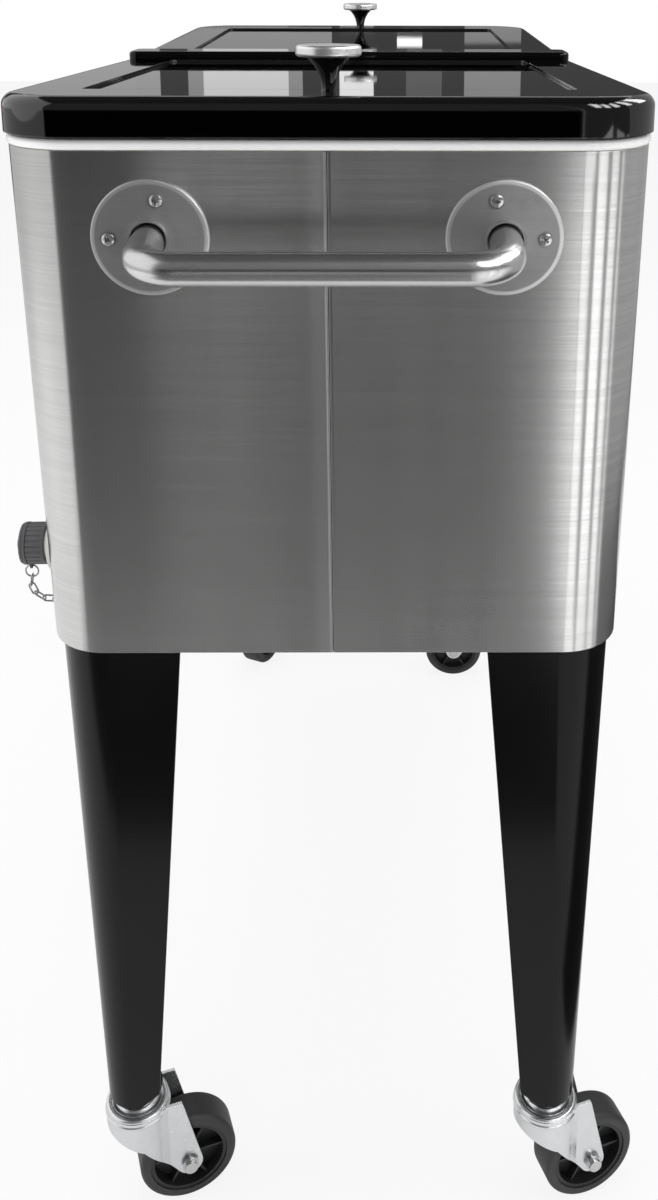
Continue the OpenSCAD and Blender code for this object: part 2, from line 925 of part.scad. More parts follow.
// Bent tube of one handle
module handle_tube(side) {
    half = handle_span / 2 - tube_bend_r;
    at_end(side)
        rotate([0, handle_droop, 0])
            union() {
                for (s = [0, 1])
                    mirror([0, s, 0]) {
                        translate([0, handle_span / 2, 1.6])
                            cylinder(r = tube_r, h = handle_out - tube_bend_r - 1.6);
                        translate([0, half, handle_out - tube_bend_r])
                            rotate([90, 0, 90])
                                rotate_extrude(angle = 90)
                                    translate([tube_bend_r, 0]) circle(tube_r);
                    }
                translate([0, -half, handle_out])
                    rotate([-90, 0, 0])
                        cylinder(r = tube_r, h = 2 * half);
            }
}

// Dished flange, with a flat seat for each screw
module handle_flange() {
    eye = tube_r + run_gap + 0.3;
    rim_x = flange_r - flange_rim_r;
    difference() {
        union() {
            rotate_extrude()
                union() {
                    polygon([
                        [eye, flange_h - flange_t],
                        [eye, flange_h + flange_collar_h],
                        [eye + 0.8, flange_h + flange_collar_h],
                        [eye + 1.8, flange_h + flange_collar_h / 3],
                        [flange_eye_r, flange_h],
                        [rim_x, 2 * flange_rim_r],
                        [rim_x, 0],
                        [rim_x - flange_t, 0],
                        [rim_x - flange_t, 2 * flange_rim_r - flange_t],
                        [flange_eye_r, flange_h - flange_t]
                    ]);
                    translate([rim_x, flange_rim_r]) circle(flange_rim_r);
                }
            flange_screw_places()
                translate([0, 0, 2 * flange_rim_r])
                    cylinder(r = flange_seat_r, h = flange_seat_z - 2 * flange_rim_r);
        }
        flange_screw_places() {
            cylinder(r = screw_r + hole_gap, h = flange_h);
            translate([0, 0, flange_seat_z]) cylinder(r = screw_head_r + run_gap, h = flange_h);
        }
    }
}

module handle_bar_left() {
    color("silver") handle_tube(-1);
}

module handle_bar_right() {
    color("silver") handle_tube(1);
}

module handle_flanges_left() {
    color("lightgray") flange_places(-1) handle_flange();
}

module handle_flanges_right() {
    color("lightgray") flange_places(1) handle_flange();
}

module handle_screws() {
    color("gray")
        for (side = [-1, 1])
            flange_places(side)
                flange_screw_places()
                    translate([0, 0, flange_seat_z])
                        pan_screw(screw_r, screw_head_r, screw_head_h, screw_l);
}

// Upright profile of the leg's sheet, which leans with the corner's radius
module leg_sheet_profile() {
    k = (leg_r_top - leg_r_bottom) / leg_h;
    top = leg_r_top + k * leg_over;
    bottom = leg_r_bottom - k * leg_over;
    polygon([
        [top - leg_t, leg_over],
        [top, leg_over],
        [bottom, -leg_h - leg_over],
        [bottom - leg_t, -leg_h - leg_over]
    ]);
}

// One flat face of the leg beyond the rounded corner, tapered and nipped at its bottom
module leg_face() {
    flat_top = leg_w_top - leg_r_top;
    flat_bottom = leg_w_bottom - leg_r_bottom;
    intersection() {
        rotate([90, 0, 0])
            linear_extrude(flat_top + leg_over)
                leg_sheet_profile();
        rotate([90, 0, 90])
            linear_extrude(2 * leg_r_top)
                polygon([
                    [0, leg_over],
                    [0, -leg_h - leg_over],
                    [-flat_bottom / 3, -leg_h],
                    [-flat_bottom, -leg_h + leg_nip],
                    [-flat_top, 0],
                    [-flat_top, leg_over]
                ]);
    }
}

// The leg in the corner where X and Y are positive
module leg_shape() {
    corner = leg_r_top - leg_t / 2;
    union() {
        intersection() {
            translate([leg_x - leg_r_top, leg_y - leg_r_top, leg_top])
                rotate(a = leg_tilt, v = [1, -1, 0])
                    union() {
                        rotate_extrude(angle = 90) leg_sheet_profile();
                        leg_face();
                        mirror([1, -1, 0]) leg_face();
                    }
            translate([0, 0, leg_bottom])
                cube([leg_x + leg_r_top, leg_y + leg_r_top, leg_h]);
        }
        difference() {
            translate([leg_x - leg_r_top, leg_y - leg_r_top, leg_top - leg_plate_t])
                linear_extrude(leg_plate_t)
                    union() {
                        circle(corner);
                        translate([-(leg_w_top - leg_r_top) + 2, 0])
                            square([leg_w_top - leg_r_top - 2, corner]);
                        translate([0, -(leg_w_top - leg_r_top) + 2])
                            square([corner, leg_w_top - leg_r_top - 2]);
                    }
            leg_bolt_places([1, 1])
                translate([0, 0, leg_top - leg_plate_t - 1])
                    cylinder(r = bolt_r + hole_gap, h = leg_plate_t + 2);
        }
        difference() {
            union() {
                translate([caster_x, caster_y, leg_bottom])
                    cylinder(r = leg_r_bottom - leg_t / 2, h = leg_plate_t);
                translate([caster_x, caster_y, leg_bottom])
                    cylinder(r = socket_r, h = socket_h);
            }
            translate([caster_x, caster_y, leg_bottom - 1])
                cylinder(r = stem_r + pin_gap, h = socket_h + 2);
        }
    }
}

// The leg in corner c
module leg_at(c) {
    color("black")
        mirror([c[0] < 0 ? 1 : 0, 0, 0])
            mirror([0, c[1] < 0 ? 1 : 0, 0])
                leg_shape();
}

module leg_bolts() {
    color("silver")
        for (c = corners)
            leg_bolt_places(c)
                union() {
                    translate([0, 0, leg_top - leg_plate_t - bolt_head_h])
                        cylinder(r = bolt_head_r, h = bolt_head_h, $fn = 6);
                    translate([0, 0, leg_top - leg_plate_t - 1])
                        cylinder(r = bolt_r, h = bolt_l);
                }
}

// Local frame of the caster in corner number i, with its trail along +X
module at_caster(i) {
    translate([corners[i][0] * caster_x, corners[i][1] * caster_y, 0])
        rotate([0, 0, headings[i]])
            children();
}

// Stem, collar and upper race, which stay with the leg
module caster_stem(i) {
    collar_z = leg_bottom - collar_h;
    color("silver")
        at_caster(i)
            rotate_extrude()
                union() {
                    translate([0, collar_z - 1]) square([stem_r, socket_h + collar_h]);
                    translate([0, fork_top + race_gap])
                        square([race_r - 5, leg_bottom - fork_top - race_gap]);
                    translate([0, fork_top + race_gap]) square([race_r, 2.4]);
                    translate([race_r - 5, fork_top + race_gap + 2.4]) circle(2.2);
                    translate([0, fork_top - fork_t - race_gap - 2.5])
                        square([kingpin_r, leg_bottom - fork_top + fork_t]);
                    translate([0, fork_top - fork_t - race_gap - 2.5]) square([rivet_r, 2.5]);
                }
}

// Plan of the fork's head and cheeks, shrunk by an inset
module fork_plan(inset) {
    r = fork_r - inset;
    w = fork_half_w - inset;
    wide = sqrt(r * r - cheek_start * cheek_start);
    far = trail + fork_eye_r + 4 + inset;
    union() {
        circle(r);
        polygon([
            [cheek_start, wide],
            [cheek_end, w],
            [far, w],
            [far, -w],
            [cheek_end, -w],
            [cheek_start, -wide]
        ]);
    }
}

// Side outline of the fork: a sloped lower edge, a round eye and a steep rear edge
module fork_outline() {
    front = fork_r + 2;
    low_front = fork_top - 14;
    knee = [0, fork_top - 29];
    rear = [cheek_end + 12, fork_top - 3];
    eye = [trail, fork_eye_z];
    to_knee = knee - eye;
    to_rear = rear - eye;
    under = atan2(to_knee[1], to_knee[0]) + acos(fork_eye_r / norm(to_knee));
    behind = atan2(to_rear[1], to_rear[0]) - acos(fork_eye_r / norm(to_rear));
    union() {
        polygon([
            [-front, fork_top],
            [-front, low_front],
            knee,
            eye + fork_eye_r * [cos(under), sin(under)],
            eye,
            eye + fork_eye_r * [cos(behind), sin(behind)],
            rear,
            [rear[0] - 1, fork_top]
        ]);
        translate(eye) circle(fork_eye_r);
    }
}

// Pressed fork with its lower race, which swivels on the kingpin
module fork(i) {
    color("silver")
        at_caster(i)
            difference() {
                union() {
                    intersection() {
                        linear_extrude(fork_top)
                            difference() {
                                fork_plan(0);
                                fork_plan(fork_t);
                            }
                        translate([0, 2 * fork_r, 0])
                            rotate([90, 0, 0])
                                linear_extrude(4 * fork_r)
                                    fork_outline();
                    }
                    translate([0, 0, fork_top - fork_t]) cylinder(r = fork_r - fork_t / 2, h = fork_t);
                    rotate_extrude()
                        union() {
                            translate([fork_r - 2.2, fork_top + 0.6]) circle(1.9);
                            translate([fork_r - 1.2, fork_top - 4]) circle(1.9);
                        }
                }
                cylinder(r = kingpin_r + pin_gap, h = fork_top + 1);
                translate([trail, 2 * fork_r, fork_eye_z])
                    rotate([90, 0, 0])
                        cylinder(r = axle_r + pin_gap, h = 4 * fork_r);
            }
}

// Axle with a flanged round head outside each cheek of the fork
module axle(i) {
    seat = fork_half_w + 0.05;
    neck = 2;
    head = 3.6;
    color("silver")
        at_caster(i)
            translate([trail, 0, fork_eye_z])
                union() {
                    translate([0, seat + neck, 0])
                        rotate([90, 0, 0])
                            cylinder(r = axle_r, h = 2 * (seat + neck));
                    for (s = [0, 1])
                        mirror([0, s, 0])
                            translate([0, seat + neck + head, 0])
                                rotate([90, 0, 0])
                                    rotate_extrude()
                                        union() {
                                            square([axle_r + 1, head]);
                                            translate([0, head - 1]) square([axle_r + 2.5, 1]);
                                        }
                }
}

// Moulded wheel centre with a boss, a web, a rim and ribs
module wheel(i) {
    boss_w = 2 * (fork_half_w - fork_t - 0.4);
    color("black")
        at_caster(i)
            translate([trail, 0, fork_eye_z])
                rotate([90, 0, 0])
                    difference() {
                        union() {
                            translate([0, 0, -boss_w / 2]) cylinder(r = hub_r, h = boss_w);
                            translate([0, 0, -hub_web_t / 2]) cylinder(r = tyre_r_in - 1, h = hub_web_t);
                            difference() {
                                translate([0, 0, -wheel_w / 2 + 1])
                                    cylinder(r = tyre_r_in, h = wheel_w - 2);
                                translate([0, 0, -wheel_w])
                                    cylinder(r = tyre_r_in - hub_rim_t, h = 2 * wheel_w);
                            }
                            for (k = [0 : rib_count - 1])
                                rotate([0, 0, k * 360 / rib_count])
                                    translate([hub_r - 1, -rib_t / 2, -wheel_w / 3])
                                        cube([tyre_r_in - hub_r - 1, rib_t, 2 * wheel_w / 3]);
                        }
                        translate([0, 0, -boss_w]) cylinder(r = axle_r + pin_gap, h = 2 * boss_w);
                    }
}

// Rubber tyre with rounded shoulders
module tyre(i) {
    shoulder = 3.5;
    color("dimgray")
        at_caster(i)
            translate([trail, 0, fork_eye_z])
                rotate([90, 0, 0])
                    rotate_extrude()
                        translate([0, -wheel_w / 2])
                            union() {
                                translate([tyre_r_in + pin_gap, 0])
                                    square([tyre_t - shoulder - pin_gap, wheel_w]);
                                translate([tyre_r_in + pin_gap, shoulder])
                                    square([tyre_t - pin_gap, wheel_w - 2 * shoulder]);
                                for (y = [shoulder, wheel_w - shoulder])
                                    translate([wheel_r - shoulder, y]) circle(shoulder);
                            }
}

module leg_back_left() { leg_at(corners[0]); }
module leg_front_left() { leg_at(corners[1]); }
module leg_back_right() { leg_at(corners[2]); }
module leg_front_right() { leg_at(corners[3]); }
module caster_stem_back_left() { caster_stem(0); }
module caster_stem_front_left() { caster_stem(1); }
module caster_stem_back_right() { caster_stem(2); }
module caster_stem_front_right() { caster_stem(3); }
module fork_back_left() { fork(0); }
module fork_front_left() { fork(1); }
module fork_back_right() { fork(2); }
module fork_front_right() { fork(3); }
module axle_back_left() { axle(0); }
module axle_front_left() { axle(1); }
module axle_back_right() { axle(2); }
module axle_front_right() { axle(3); }
module wheel_back_left() { wheel(0); }
module wheel_front_left() { wheel(1); }
module wheel_back_right() { wheel(2); }
module wheel_front_right() { wheel(3); }
module tyre_back_left() { tyre(0); }
module tyre_front_left() { tyre(1); }
module tyre_back_right() { tyre(2); }
module tyre_front_right() { tyre(3); }

// Spout through the wall, with a flange outside
module drain_spout() {
    color("gainsboro")
        at_drain()
            difference() {
                union() {
                    translate([0, 0, -spout_in]) cylinder(r = spout_r, h = spout_in + spout_end);
                    translate([0, 0, seal_t]) cylinder(r = spout_flange_r, h = spout_flange_t);
                }
                translate([0, 0, -spout_in - 1]) cylinder(r = drain_bore_r, h = spout_in + spout_end + 2);
            }
}

module drain_gasket() {
    color("black")
        at_drain()
            difference() {
                cylinder(r = spout_flange_r - 1, h = seal_t);
                translate([0, 0, -1]) cylinder(r = spout_r + hole_gap, h = seal_t + 2);
            }
}

module drain_nut() {
    color("gainsboro")
        at_drain()
            translate([0, 0, -inner_inset - nut_t])
                difference() {
                    cylinder(r = nut_r, h = nut_t, $fn = 6);
                    translate([0, 0, -1]) cylinder(r = spout_r + hole_gap, h = nut_t + 2);
                }
}

// Screw cap with grip grooves, a chamfered face, a centre bump and a groove for its ring
module drain_cap() {
    base = cap_out - cap_l;
    color("dimgray")
        at_drain()
            difference() {
                rotate_extrude()
                    difference() {
                        union() {
                            polygon([
                                [0, base],
                                [cap_r, base],
                                [cap_r, cap_out - cap_chamfer],
                                [cap_r - cap_chamfer / 2, cap_out],
                                [0, cap_out]
                            ]);
                            translate([0, cap_out]) square([cap_bump_r, cap_bump_h]);
                        }
                        translate([-1, base - 1]) square([spout_r + run_gap + 1, cap_l - cap_top_t + 1]);
                        translate([cap_r - ring_groove, ring_at - 0.3])
                            square([ring_groove + 1, ring_w + 0.6]);
                    }
                for (k = [0 : cap_grooves - 1])
                    rotate([0, 0, k * 360 / cap_grooves])
                        translate([cap_r + groove_r / 3, 0, base + 2])
                            cylinder(r = groove_r, h = cap_out);
            }
}

// Loose band in the cap's groove, with an eye for the chain
module cap_ring() {
    r_in = cap_r - ring_groove + 0.3;
    color("silver")
        at_drain()
            translate([0, 0, ring_at])
                difference() {
                    union() {
                        cylinder(r = r_in + ring_t, h = ring_w);
                        translate([0, ring_eye_y, 0]) cylinder(r = ring_eye_r + 1, h = ring_t);
                    }
                    translate([0, 0, -1]) cylinder(r = r_in, h = ring_w + 2);
                    translate([0, ring_eye_y, -1]) cylinder(r = ring_eye_r, h = ring_t + 2);
                }
}

// A closed wire loop with round ends, along X and flat in XY
module chain_link(len) {
    half = (len - link_w) / 2;
    union() {
        for (s = [0, 1])
            mirror([s, 0, 0])
                translate([half, 0, 0])
                    rotate([0, 0, -90])
                        rotate_extrude(angle = 180)
                            translate([link_w / 2, 0]) circle(chain_wire / 2);
        for (s = [-1, 1])
            translate([-half, s * link_w / 2, 0])
                rotate([0, 90, 0])
                    cylinder(r = chain_wire / 2, h = 2 * half);
    }
}

// Round loop in the cap ring's eye, then the links of the route
module drain_chain() {
    lap = chain_wire + link_gap;
    color("silver")
        at_drain() {
            translate([0, loop_at[0], loop_at[1]])
                rotate([0, 90, 0])
                    rotate_extrude()
                        translate([loop_r, 0]) circle(loop_wire / 2);
            for (i = [0 : len(chain_route) - 2]) {
                p = chain_route[i];
                q = chain_route[i + 1];
                step = q - p;
                translate([0, (p[0] + q[0]) / 2, (p[1] + q[1]) / 2])
                    rotate([atan2(step[1], step[0]), 0, 0])
                        rotate([0, 0, 90])
                            rotate([link_twist[i], 0, 0])
                                chain_link(norm(step) + lap);
            }
        }
}

// Eyelet on the wrap that holds the chain's other end
module chain_eyelet() {
    color("silver")
        at_drain()
            translate([0, eyelet_y, 0])
                union() {
                    cylinder(r = eyelet_base_r, h = eyelet_base_t);
                    cylinder(r = eyelet_wire / 2, h = eyelet_out - eyelet_r);
                    translate([0, 0, eyelet_out])
                        rotate([90, 0, 0])
                            rotate_extrude()
                                translate([eyelet_r, 0]) circle(eyelet_wire / 2);
                }
}

// Cast opener: a plate with a hooded lip over a round mouth
module bottle_opener() {
    lip_w = opener_w - 8;
    lip_t = 5;
    color("silver")
        at_opener()
            difference() {
                union() {
                    translate([-opener_w / 2, -opener_h / 2 + 8, 0])
                        cube([opener_w, opener_h - 16, opener_t]);
                    translate([-opener_w / 2 + 8, -opener_h / 2, 0])
                        cube([opener_w - 16, opener_h, opener_t]);
                    for (x = [-opener_w / 2 + 8, opener_w / 2 - 8], y = [-opener_h / 2 + 8, opener_h / 2 - 8])
                        translate([x, y, 0]) cylinder(r = 8, h = opener_t);
                    translate([-lip_w / 2, 2, 0])
                        cube([lip_w, lip_t, opener_lip]);
                    for (s = [-1, 1])
                        translate([s * (lip_w / 2 - 2.5) - 2.5, -opener_h / 2 + 10, 0])
                            cube([5, opener_h / 2 - 5, opener_lip - 3]);
                }
                translate([0, -opener_mouth_r + 2, 2]) cylinder(r = opener_mouth_r, h = opener_lip);
                opener_screw_places()
                    translate([0, 0, -1]) cylinder(r = screw_r + hole_gap, h = opener_lip);
            }
}

module opener_screws() {
    color("silver")
        at_opener() {
            opener_screw_places()
                translate([0, 0, opener_t]) pan_screw(screw_r, screw_head_r, screw_head_h, screw_l);
            hook_places()
                translate([0, 0, catcher_t]) pan_screw(screw_r, screw_head_r, screw_head_h, screw_l);
        }
}

// Open box under the opener, screwed to the wrap
module cap_catcher() {
    bottom = catcher_up - opener_up;
    color("silver")
        at_opener()
            difference() {
                translate([-catcher_w / 2, bottom, 0]) cube([catcher_w, catcher_h, catcher_d]);
                translate([-catcher_w / 2 + catcher_t, bottom + catcher_t, catcher_t])
                    cube([catcher_w - 2 * catcher_t, catcher_h, catcher_d - 2 * catcher_t]);
                translate([-catcher_w / 2 - 1, bottom + catcher_h - hook_up * 2, catcher_d / 2])
                    cube([catcher_w + 2, hook_up * 3, catcher_d]);
                hook_places()
                    translate([0, 0, -1]) cylinder(r = screw_r + hole_gap, h = catcher_d);
            }
}

tub_liner();
foam_jacket();
wrap_front();
wrap_back();
bottom_pan();
rim_trim();
lid_left();
lid_right();
lid_liner_left();
lid_liner_right();
lid_gasket_left();
lid_gasket_right();
knob_stem_left();
knob_stem_right();
knob_cap_left();
knob_cap_right();
hinge_bar();
hinge_pins();
bar_screws();
handle_bar_left();
handle_bar_right();
handle_flanges_left();
handle_flanges_right();
handle_screws();
leg_back_left();
leg_front_left();
leg_back_right();
leg_front_right();
leg_bolts();
caster_stem_back_left();
caster_stem_front_left();
caster_stem_back_right();
caster_stem_front_right();
fork_back_left();
fork_front_left();
fork_back_right();
fork_front_right();
axle_back_left();
axle_front_left();
axle_back_right();
axle_front_right();
wheel_back_left();
wheel_front_left();
wheel_back_right();
wheel_front_right();
tyre_back_left();
tyre_front_left();
tyre_back_right();
tyre_front_right();
drain_spout();
drain_gasket();
drain_nut();
drain_cap();
cap_ring();
drain_chain();
chain_eyelet();
bottle_opener();
opener_screws();
cap_catcher();
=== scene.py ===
"""Rolling drinks cooler: finishes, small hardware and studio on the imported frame."""
from __future__ import annotations

import logging
import math
from dataclasses import dataclass
from enum import Enum
from typing import Optional, Sequence, Union

import bmesh
import bpy
from mathutils import Matrix, Vector


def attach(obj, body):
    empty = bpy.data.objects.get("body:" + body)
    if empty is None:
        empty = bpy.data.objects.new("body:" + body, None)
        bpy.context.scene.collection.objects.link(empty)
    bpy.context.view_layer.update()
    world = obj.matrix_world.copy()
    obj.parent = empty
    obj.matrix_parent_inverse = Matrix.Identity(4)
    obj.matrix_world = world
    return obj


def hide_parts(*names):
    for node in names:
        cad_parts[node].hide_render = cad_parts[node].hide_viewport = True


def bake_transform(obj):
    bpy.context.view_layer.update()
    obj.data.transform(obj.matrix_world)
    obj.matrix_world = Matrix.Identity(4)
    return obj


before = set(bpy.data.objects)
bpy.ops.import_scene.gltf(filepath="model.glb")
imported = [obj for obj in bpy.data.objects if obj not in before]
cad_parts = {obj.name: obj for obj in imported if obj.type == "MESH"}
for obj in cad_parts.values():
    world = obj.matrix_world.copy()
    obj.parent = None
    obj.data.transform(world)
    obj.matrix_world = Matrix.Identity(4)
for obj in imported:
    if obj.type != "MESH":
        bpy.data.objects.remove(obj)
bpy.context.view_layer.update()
LOG = logging.getLogger("cooler")

Triple = tuple[float, float, float]
Span = tuple[float, float]
Link = Union["Signal", float, Sequence[float]]

MM = 0.001
QUARTER = math.pi / 2.0
WHITE = (1.0, 1.0, 1.0)
CORNERS = ("back_left", "front_left", "back_right", "front_right")
SIDES = ("left", "right")
WALL_LEAN = math.radians(1.02915)
HANDLE_HEIGHT = 786.0 * MM
HANDLE_HALF_SPAN = 106.0 * MM
MERGE_GAP = 0.002 * MM
SHARP_ANGLE = math.radians(38.0)
OCTAVE_SHARE = 0.55
EDGE_SAMPLES = 4


def even(value: float) -> Triple:
    """The same number for all three axes or channels."""
    return (value, value, value)


class Grain(Enum):
    """Cycles a metre of the fine lines in a metal surface, by their direction."""

    ALONG_WALL = (3.0, 3.0, 900.0)
    ALONG_TUBE = (700.0, 5.0, 700.0)
    ROUND = (500.0, 500.0, 40.0)
    NONE = (160.0, 160.0, 160.0)


class Signal:
    """A shader socket whose arithmetic adds Math nodes to its tree."""

    def __init__(self, tree: "Tree", socket: bpy.types.NodeSocket) -> None:
        """Keeps the tree and the output socket that this value comes from."""
        self.tree = tree
        self.socket = socket

    def _math(self, operation: str, first: Link, second: Link = 0.0) -> "Signal":
        """Adds one Math node.

        Args:
            operation: name of the Math node's operation.
            first: value or link of the first socket.
            second: value or link of the second socket.

        Returns:
            The node's result.
        """
        return self.tree.add("ShaderNodeMath", {"operation": operation}, {0: first, 1: second})

    def __add__(self, other: Link) -> "Signal":
        """This value plus another."""
        return self._math("ADD", self, other)

    def __radd__(self, other: Link) -> "Signal":
        """Another value plus this one."""
        return self._math("ADD", other, self)

    def __sub__(self, other: Link) -> "Signal":
        """This value less another."""
        return self._math("SUBTRACT", self, other)

    def __rsub__(self, other: Link) -> "Signal":
        """Another value less this one."""
        return self._math("SUBTRACT", other, self)

    def __mul__(self, other: Link) -> "Signal":
        """This value times another."""
        return self._math("MULTIPLY", self, other)

    def __rmul__(self, other: Link) -> "Signal":
        """Another value times this one."""
        return self._math("MULTIPLY", other, self)

    def __abs__(self) -> "Signal":
        """This value without its sign."""
        return self._math("ABSOLUTE", self)

    def above(self, limit: float) -> "Signal":
        """One where this value is over a limit, and nought elsewhere."""
        return self._math("GREATER_THAN", self, limit)

    def larger(self, other: Link) -> "Signal":
        """The larger of this value and another."""
        return self._math("MAXIMUM", self, other)

    def ramp(self, low: float, high: float) -> "Signal":
        """Smooth step from nought at low to one at high."""
        settings = {"interpolation_type": "SMOOTHSTEP"}
        return self.tree.add("ShaderNodeMapRange", settings, {0: self, 1: low, 2: high, 3: 0.0, 4: 1.0})


class Tree:
    """Node tree with one method that adds any node."""

    def __init__(self, tree: bpy.types.NodeTree) -> None:
        """Keeps the tree's nodes and links."""
        self.nodes = tree.nodes
        self.links = tree.links

    def add(self, kind: str, settings: Optional[dict] = None, inputs: Optional[dict] = None,
            output: Union[int, str] = 0) -> Signal:
        """Adds a node.

        Args:
            kind: type of the node.
            settings: properties that are set first.
            inputs: values or links by socket name or number.
            output: name or number of the socket that is returned.

        Returns:
            The chosen output as a signal.
        """
        node = self.nodes.new(kind)
        for key, value in (settings or {}).items():
            setattr(node, key, value)
        for key, value in (inputs or {}).items():
            self.put(node.inputs[key], value)
        return Signal(self, node.outputs[output])

    def put(self, socket: bpy.types.NodeSocket, value: Link) -> None:
        """Sets or links one input socket.

        Args:
            socket: the input.
            value: a number, a colour, a vector or a signal.
        """
        if isinstance(value, Signal):
            self.links.new(value.socket, socket)
        elif isinstance(value, (int, float)):
            socket.default_value = float(value)
        else:
            socket.default_value = (*value, 1.0)[:len(socket.default_value)]


class Shader(Tree):
    """Node tree of one material."""

    def __init__(self, name: str) -> None:
        """Makes a material with a plain Principled surface.

        Args:
            name: name of the material.
        """
        self.material = bpy.data.materials.new(name)
        self.material.use_nodes = True
        super().__init__(self.material.node_tree)

    def axis(self, name: str) -> Signal:
        """One Object coordinate, by the name of its axis."""
        place = self.add("ShaderNodeTexCoord", output="Object")
        return self.add("ShaderNodeSeparateXYZ", None, {0: place}, name)

    def noise(self, cycles: Triple, detail: float) -> Signal:
        """Noise on Object coordinates.

        Args:
            cycles: cycles a metre along each axis.
            detail: octaves.

        Returns:
            The noise value from nought to one.
        """
        place = self.add("ShaderNodeTexCoord", output="Object")
        place = self.add("ShaderNodeMapping", None, {"Vector": place, "Scale": cycles})
        settings = {"noise_dimensions": "3D"}
        inputs = {"Vector": place, "Scale": 1.0, "Detail": detail, "Roughness": OCTAVE_SHARE}
        return self.add("ShaderNodeTexNoise", settings, inputs)

    def tint(self, factor: Link, first: Link, second: Link) -> Signal:
        """Mix of two colours.

        Args:
            factor: nought gives the first colour and one the second.
            first: colour or link.
            second: colour or link.

        Returns:
            The mixed colour.
        """
        return self.add("ShaderNodeMix", {"data_type": "RGBA"}, {0: factor, 6: first, 7: second}, 2)

    def relief(self, height: Link, strength: float, depth: float, edge: float = 0.0,
               under: Optional[Signal] = None) -> Signal:
        """Bump, over softened edges where an edge radius is given.

        Args:
            height: height signal.
            strength: strength of the bump.
            depth: distance of the bump, in metres.
            edge: radius that rounds the shading of hard edges, in metres.
            under: normal that the bump lies on, in place of softened edges.

        Returns:
            The normal.
        """
        inputs = {"Height": height, "Strength": strength, "Distance": depth}
        if under is not None:
            inputs["Normal"] = under
        elif edge > 0.0:
            inputs["Normal"] = self.add("ShaderNodeBevel", {"samples": EDGE_SAMPLES}, {"Radius": edge})
        return self.add("ShaderNodeBump", None, inputs)

    def wire(self, **inputs: Link) -> bpy.types.Material:
        """Feeds the Principled surface.

        Args:
            inputs: values or links by socket name, with underscores for spaces.

        Returns:
            The material.
        """
        surface = self.nodes["Principled BSDF"]
        for key, value in inputs.items():
            self.put(surface.inputs[key.replace("_", " ")], value)
        return self.material

    def show(self, surface: Signal) -> bpy.types.Material:
        """Puts another surface in place of the Principled one."""
        self.put(self.nodes["Material Output"].inputs["Surface"], surface)
        return self.material


@dataclass(frozen=True)
class Pattern:
    """Noise that is sharpened between two of its values."""

    cycles: Triple
    detail: float
    between: Span

    def on(self, shader: Shader) -> Signal:
        """Adds the pattern to a shader."""
        return shader.noise(self.cycles, self.detail).ramp(*self.between)


@dataclass(frozen=True)
class Metal:
    """Bare metal with fine lines, faint smudges and a softened edge."""

    name: str
    colour: Triple
    dull: Triple
    roughness: float
    grain: Grain = Grain.NONE
    smudge_rough: float = 0.06
    line_rough: float = 0.05
    line_share: float = 0.6
    smudge: Pattern = Pattern(even(9.0), 4.0, (0.45, 0.75))
    bump: float = 0.12
    depth: float = 0.04 * MM
    edge: float = 0.6 * MM

    def make(self) -> bpy.types.Material:
        """Builds the material.

        Returns:
            The material.
        """
        shader = Shader(self.name)
        lines = shader.noise(self.grain.value, 4.0)
        smudge = self.smudge.on(shader)
        worn = lines * self.line_share + smudge * (1.0 - self.line_share)
        return shader.wire(
            Base_Color=shader.tint(worn, self.colour, self.dull), Metallic=1.0,
            Roughness=(lines - 0.5) * self.line_rough + smudge * self.smudge_rough + self.roughness,
            Normal=shader.relief(lines, self.bump, self.depth, self.edge)
        )


@dataclass(frozen=True)
class BrushedSheet:
    """Stainless sheet with level brush lines, cloudy finish, wiping marks, folded seams and a painted
    highlight on one side of each seam.
    """

    name: str
    colour: Triple
    dull: Triple
    roughness: float
    fine: Pattern = Pattern((14.0, 14.0, 1200.0), 3.0, (0.25, 0.75))
    broad: Pattern = Pattern((6.0, 6.0, 300.0), 2.0, (0.3, 0.7))
    cloud: Pattern = Pattern((5.0, 5.0, 3.0), 4.0, (0.35, 0.75))
    wipe: Pattern = Pattern((34.0, 34.0, 2.0), 3.0, (0.3, 0.7))
    fine_share: float = 0.65
    brush_share: float = 0.60
    wipe_share: float = 0.25
    cloud_share: float = 0.15
    unevenness: float = 0.03
    bump: float = 0.006
    depth: float = 0.02 * MM
    fold: Span = (0.2 * MM, 3.2 * MM)
    fold_depth: float = 0.36 * MM
    fold_edge: float = 0.4 * MM
    # Colour, share and reach of the painted highlight beside each seam.
    seam_highlight: Triple = even(0.92)
    seam_highlight_share: float = 0.40
    seam_highlight_reach: Span = (6.0 * MM, 16.0 * MM)
    streak: float = 0.95
    streak_turn: float = 0.25

    def make(self) -> bpy.types.Material:
        """Builds the material.

        Returns:
            The material.
        """
        shader = Shader(self.name)
        broad, cloud = self.broad.on(shader), self.cloud.on(shader)
        brush = self.fine.on(shader) * self.fine_share + broad * (1.0 - self.fine_share)
        worn = brush * self.brush_share + self.wipe.on(shader) * self.wipe_share + cloud * self.cloud_share
        colour = shader.tint(worn, self.colour, self.dull)
        across = shader.axis("Y")
        away = abs(across)
        fold = shader.relief(away.ramp(*self.fold), 1.0, self.fold_depth, self.fold_edge)
        # Painted highlight: lighter colour in a strip on one side of each seam, where the bent sheet edge
        # catches light.
        highlight_beside_seam = across.above(0.0) * (1.0 - away.ramp(*self.seam_highlight_reach))
        return shader.wire(
            Base_Color=shader.tint(highlight_beside_seam * self.seam_highlight_share, colour, self.seam_highlight), Metallic=1.0,
            Roughness=(brush - 0.5) * self.unevenness + cloud * self.unevenness + self.roughness,
            Anisotropic=self.streak, Anisotropic_Rotation=self.streak_turn,
            Normal=shader.relief(broad, self.bump, self.depth, under=fold)
        )


